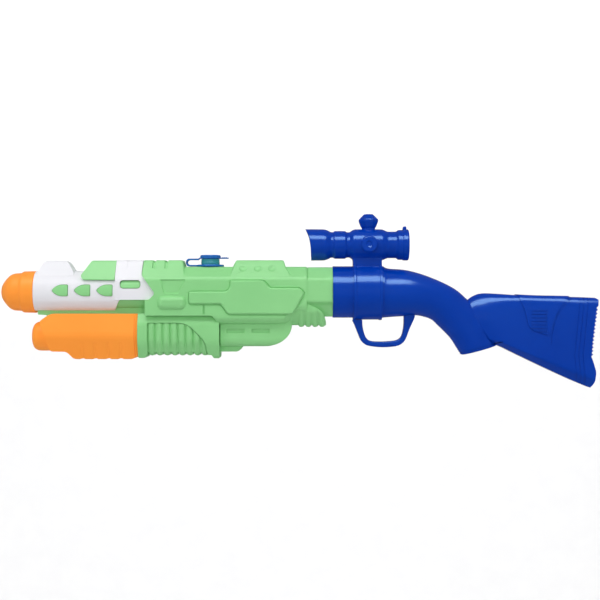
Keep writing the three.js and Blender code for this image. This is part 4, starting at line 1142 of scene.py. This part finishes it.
tank = {"top": 22.2, "shoulder": 12.4, "halfWidth": 21.6, "bottom": -14.5, "wall": 1.8, "neckTop": 34.5,
    "neckRadius": 9.5, "neckBore": 7.8, "outletX": -80, "outletRadius": 2.6}
filler = {"capRadius": 10.7, "capLow": 34.8, "capTop": 38.9, "plugRadius": 7.5, "ringRadius": 14.2,
    "ringLow": 26.4, "ringHigh": 28.6, "strapTop": 35.1, "strapReach": 25.5, "strapWidth": 6,
    "strapThickness": 1.7, "hingeX": -144, "ridges": 36}


def buildTank():
    t = tank
    low, high = nodeBox("tank")

    def shape(shrink):
        w = t["halfWidth"] - shrink
        return bar(both([(-9.5 + shrink * 0.5, t["top"] - shrink, 2), (-w, t["shoulder"] - shrink * 0.5, 2),
            (-w, t["bottom"] + shrink, 2)]), low.x + shrink, high.x - shrink, 1.0)

    shell = shape(0)
    r = t["neckRadius"]
    lip = [(-5.2, r, 0.3), (-4.6, r + 0.25, 0.2), (-3.6, r + 0.25, 0.2), (-3, r, 0.3), (0, r, 0.5), (0, 0)]
    neck = turned([(10, 0), (10, r), *shifted(t["neckTop"], lip)], "z", (neckX, 0, 0), 72)
    join(shell, neck)
    cut(shell, shape(t["wall"]), rod(t["neckBore"], 10, 60, "z", (neckX, 0, 0), sides=72))
    cut(shell, rod(t["outletRadius"], -30, -8, "z", (t["outletX"], 0, 0), sides=40))
    complete(shell, "tank_skin", "teal", "frame", "tank")


def buildFiller():
    f = filler
    cap = turned([
        (29.6, 0), (29.6, f["plugRadius"] - 0.6, 0.3), (f["capLow"], f["plugRadius"]),
        (f["capLow"], f["capRadius"], 0.8), (f["capTop"] - 0.6, f["capRadius"], 1.0),
        (f["capTop"], f["capRadius"] - 1.8, 0.8),
        (f["capTop"] - 0.7, f["capRadius"] - 2.6, 0.5), (f["capTop"] - 0.7, 0)], "z", (neckX, 0, 0), 96)
    for k in range(f["ridges"]):
        a = 2 * math.pi * k / f["ridges"]
        reach = f["capRadius"] + 0.14
        spot = (neckX + reach * math.cos(a), reach * math.sin(a), 0)
        cut(cap, rod(0.42, f["capLow"] + 0.9, f["capTop"] - 1.1, "z", spot, sides=12))
    tab = plate([(neckX + 4, -3.4), (neckX + 19.2, -3.0, 2.6), (neckX + 19.2, 3.0, 2.6), (neckX + 4, 3.4)],
        34.85, 36.15, 0.4)
    half = f["strapWidth"] / 2
    top = f["strapTop"] - 0.05  # the hinge line lies in the strap's top face
    edge = neckX - f["capRadius"]
    stub = slab([
        (f["hingeX"] + 0.15, top), (edge - 1.8, top), (edge + 0.2, top + 1.2), (edge + 2.7, top + 1.2),
        (edge + 2.7, top - 0.2), (edge - 0.3, top - 0.2),
        (edge - 1.8, top - f["strapThickness"]), (f["hingeX"] + 0.15, top - f["strapThickness"])], -half,
        half, 0.25)
    grips = [rod(0.5, -2.4, 2.4, "y", (neckX + x, 0, 36.1), sides=16) for x in (13, 14.8, 16.6)]
    join(cap, tab, stub, *grips)
    complete(cap, "filler_cap_skin", "litCapBlue", "filler_cap", "filler_cap")


def buildLeash():
    f = filler
    ring = turned([(f["ringLow"], 9.8, 0.4), (f["ringLow"], f["ringRadius"], 0.7),
        (f["ringHigh"], f["ringRadius"], 0.9), (f["ringHigh"], 9.8, 0.4)], "z", (neckX, 0, 0), 96)
    top = f["strapTop"] - 0.05
    thick = f["strapThickness"]
    left = neckX - f["strapReach"]
    low = f["ringLow"] + 0.3
    half = f["strapWidth"] / 2
    outer = [(neckX - 11, low), (left, low, 4.2), (left, top, 4.2), (f["hingeX"] - 0.15, top)]
    inner = [(f["hingeX"] - 0.15, top - thick), (left + thick, top - thick, 3.2),
        (left + thick, low + thick, 3.2), (neckX - 11, low + thick)]
    strap = slab(outer + inner, -half, half, 0.3)
    join(ring, strap)
    complete(ring, "cap_leash_skin", "litCapBlue", "frame", "cap_leash")


buildTank()
buildFiller()
buildLeash()
print("stage: filler")


# Screws with a pan head and a cross recess

def buildScrews():
    s = screws
    low, high, tip = s["headLow"], s["headHigh"], s["tip"]
    crest = s["shankRadius"]
    root = crest * 0.72
    thread = []
    for i in range(int((low - tip - 3) / s["pitch"])):
        along = tip + 1.6 + s["pitch"] * i
        thread += [(along, root), (along + 0.45, crest), (along + 0.6, crest)]
    shank = [(tip, 0), (tip + 1.5, root), *thread, (low - 0.7, root), (low - 0.2, crest), (low, crest)]
    head = [(low, s["headRadius"], 0.3), (high, s["headRadius"] - 0.3, 0.9), (high, 0)]
    names = {"body": "frame", "fore_end": "pump_handle", "grip": "pump_handle", "stock": "frame",
        "scope": "frame"}
    for group, rides in names.items():
        for k, (x, z) in enumerate(s[group]):
            screw = turned(shank + head, "y", (x, 0, z), 28)
            cross = [cubeBlock((x - a, high - 0.9, z - b), (x + a, high + 1, z + b))
                for a, b in ((1.5, 0.3), (0.3, 1.5))]
            cut(screw, *cross)
            complete(screw, f"{group}_screw_{k + 1}_fine", "steel", rides, f"{group}_screw_{k + 1}")


buildScrews()
print("stage: screws")


# The other CAD nodes keep their shape and take a moulded finish

kept = {
    "jet_insert": "grey", "barrel_pipe": "clear", "pump_cylinder": "clear", "cylinder_gland": "grey",
    "piston": "grey", "piston_ring": "rubber",
    "piston_rod": "white", "valve_block": "grey", "inlet_ball": "steel", "outlet_ball": "steel",
    "suction_tube": "clear", "outlet_hose": "clear",
}
for node, colour in kept.items():
    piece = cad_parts[node]
    piece.data.materials.clear()
    piece.data.materials.append(finish[colour])
    piece.data.shade_smooth()
    piece.data.set_sharp_from_angle(angle=math.radians(32))
print("stage: inner parts")


# Floor, light and camera

studio = {
    "floorZ": -1.3, "floorRadius": 2.4, "wallCurve": 1.2, "wallTop": 12.0, "airLight": 0.17,
    "cameraY": -1.2, "cameraZ": 0.0008, "lens": 68.57,
}


def buildFloor():
    # a round floor that curves up into a wall on every side
    sides, steps = 96, 20
    flat, curve = studio["floorRadius"], studio["wallCurve"]
    profile = [(flat / 3, 0.0), (flat / 1.5, 0.0)]
    for k in range(steps + 1):
        a = k / steps * math.pi / 2
        profile.append((flat + curve * math.sin(a), curve * (1 - math.cos(a))))
    profile.append((flat + curve, studio["wallTop"]))
    bm = bmesh.new()
    rings = []
    for radius, up in profile:
        turns = [2 * math.pi * k / sides for k in range(sides)]
        rings.append([bm.verts.new((radius * math.cos(t), radius * math.sin(t), studio["floorZ"] + up))
            for t in turns])
    bm.faces.new(rings[0])
    for first, second in zip(rings, rings[1:]):
        for i in range(sides):
            bm.faces.new((first[i], second[i], second[i - sides + 1], first[i - sides + 1]))
    mesh = bpy.data.meshes.new("studio_floor")
    bmesh.ops.recalc_face_normals(bm, faces=bm.faces)
    bm.to_mesh(mesh)
    bm.free()
    floor = bpy.data.objects.new("studio_floor", mesh)
    scene.collection.objects.link(floor)
    floor.data.shade_smooth()
    floor.data.materials.append(plastic("paleFloor", (0.72, 0.72, 0.72), (0.70, 0.70, 0.705), 0.7,
        grain=0.01))
    floor.visible_glossy = False


def areaLight(name, at, aim, size, watts, inGloss=True, inDiffuse=True):
    light = bpy.data.lights.new(name, "AREA")
    light.shape = "RECTANGLE"
    light.size, light.size_y = size
    light.energy = watts
    lamp = bpy.data.objects.new(name, light)
    lamp.location = at
    lamp.rotation_euler = (Vector(aim) - Vector(at)).to_track_quat("-Z", "Y").to_euler()
    lamp.visible_glossy = inGloss
    lamp.visible_diffuse = inDiffuse
    scene.collection.objects.link(lamp)


buildFloor()
areaLight("keySoftbox", (-0.1, -0.85, 1.3), (0, 0, 0), (1.7, 0.7), 9, inGloss=False)
areaLight("glossStrip", (-0.1, -0.8, 1.22), (0, 0, 0), (1.7, 0.66), 26, inDiffuse=False)
areaLight("frontFill", (0, -1.9, 0.25), (0, 0, 0), (1.6, 1.0), 8, inGloss=False)
areaLight("leftFill", (-1.7, -0.9, 0.5), (0, 0, 0), (0.9, 1.2), 4, inGloss=False)
areaLight("rightFill", (1.7, -0.7, 0.5), (0, 0, 0), (0.9, 1.2), 3, inGloss=False)
areaLight("backWash", (0, 1.2, 1.6), (0, 3.0, 0.0), (4.2, 1.0), 112, inGloss=False)
areaLight("frontWash", (0, -1.3, 2.0), (0, -3.4, 0.0), (3.0, 0.8), 20, inGloss=False)
areaLight("leftWash", (-1.3, 0, 2.0), (-3.4, 0, 0.0), (0.8, 2.4), 10, inGloss=False)
areaLight("rightWash", (1.3, 0, 2.0), (3.4, 0, 0.0), (0.8, 2.4), 10, inGloss=False)

world = bpy.data.worlds.new("studioAir")
world.use_nodes = True
world.node_tree.nodes["Background"].inputs["Color"].default_value = (1, 1, 1, 1)
world.node_tree.nodes["Background"].inputs["Strength"].default_value = studio["airLight"]
scene.world = world
scene.view_settings.view_transform = "Standard"

lens = bpy.data.cameras.new("photoCamera")
lens.lens = studio["lens"]
lens.sensor_width = 36
camera = bpy.data.objects.new("photoCamera", lens)
camera.location = (0, studio["cameraY"], studio["cameraZ"])
camera.rotation_euler = (math.pi / 2, 0, 0)
scene.collection.objects.link(camera)
scene.camera = camera
print("stage: studio")
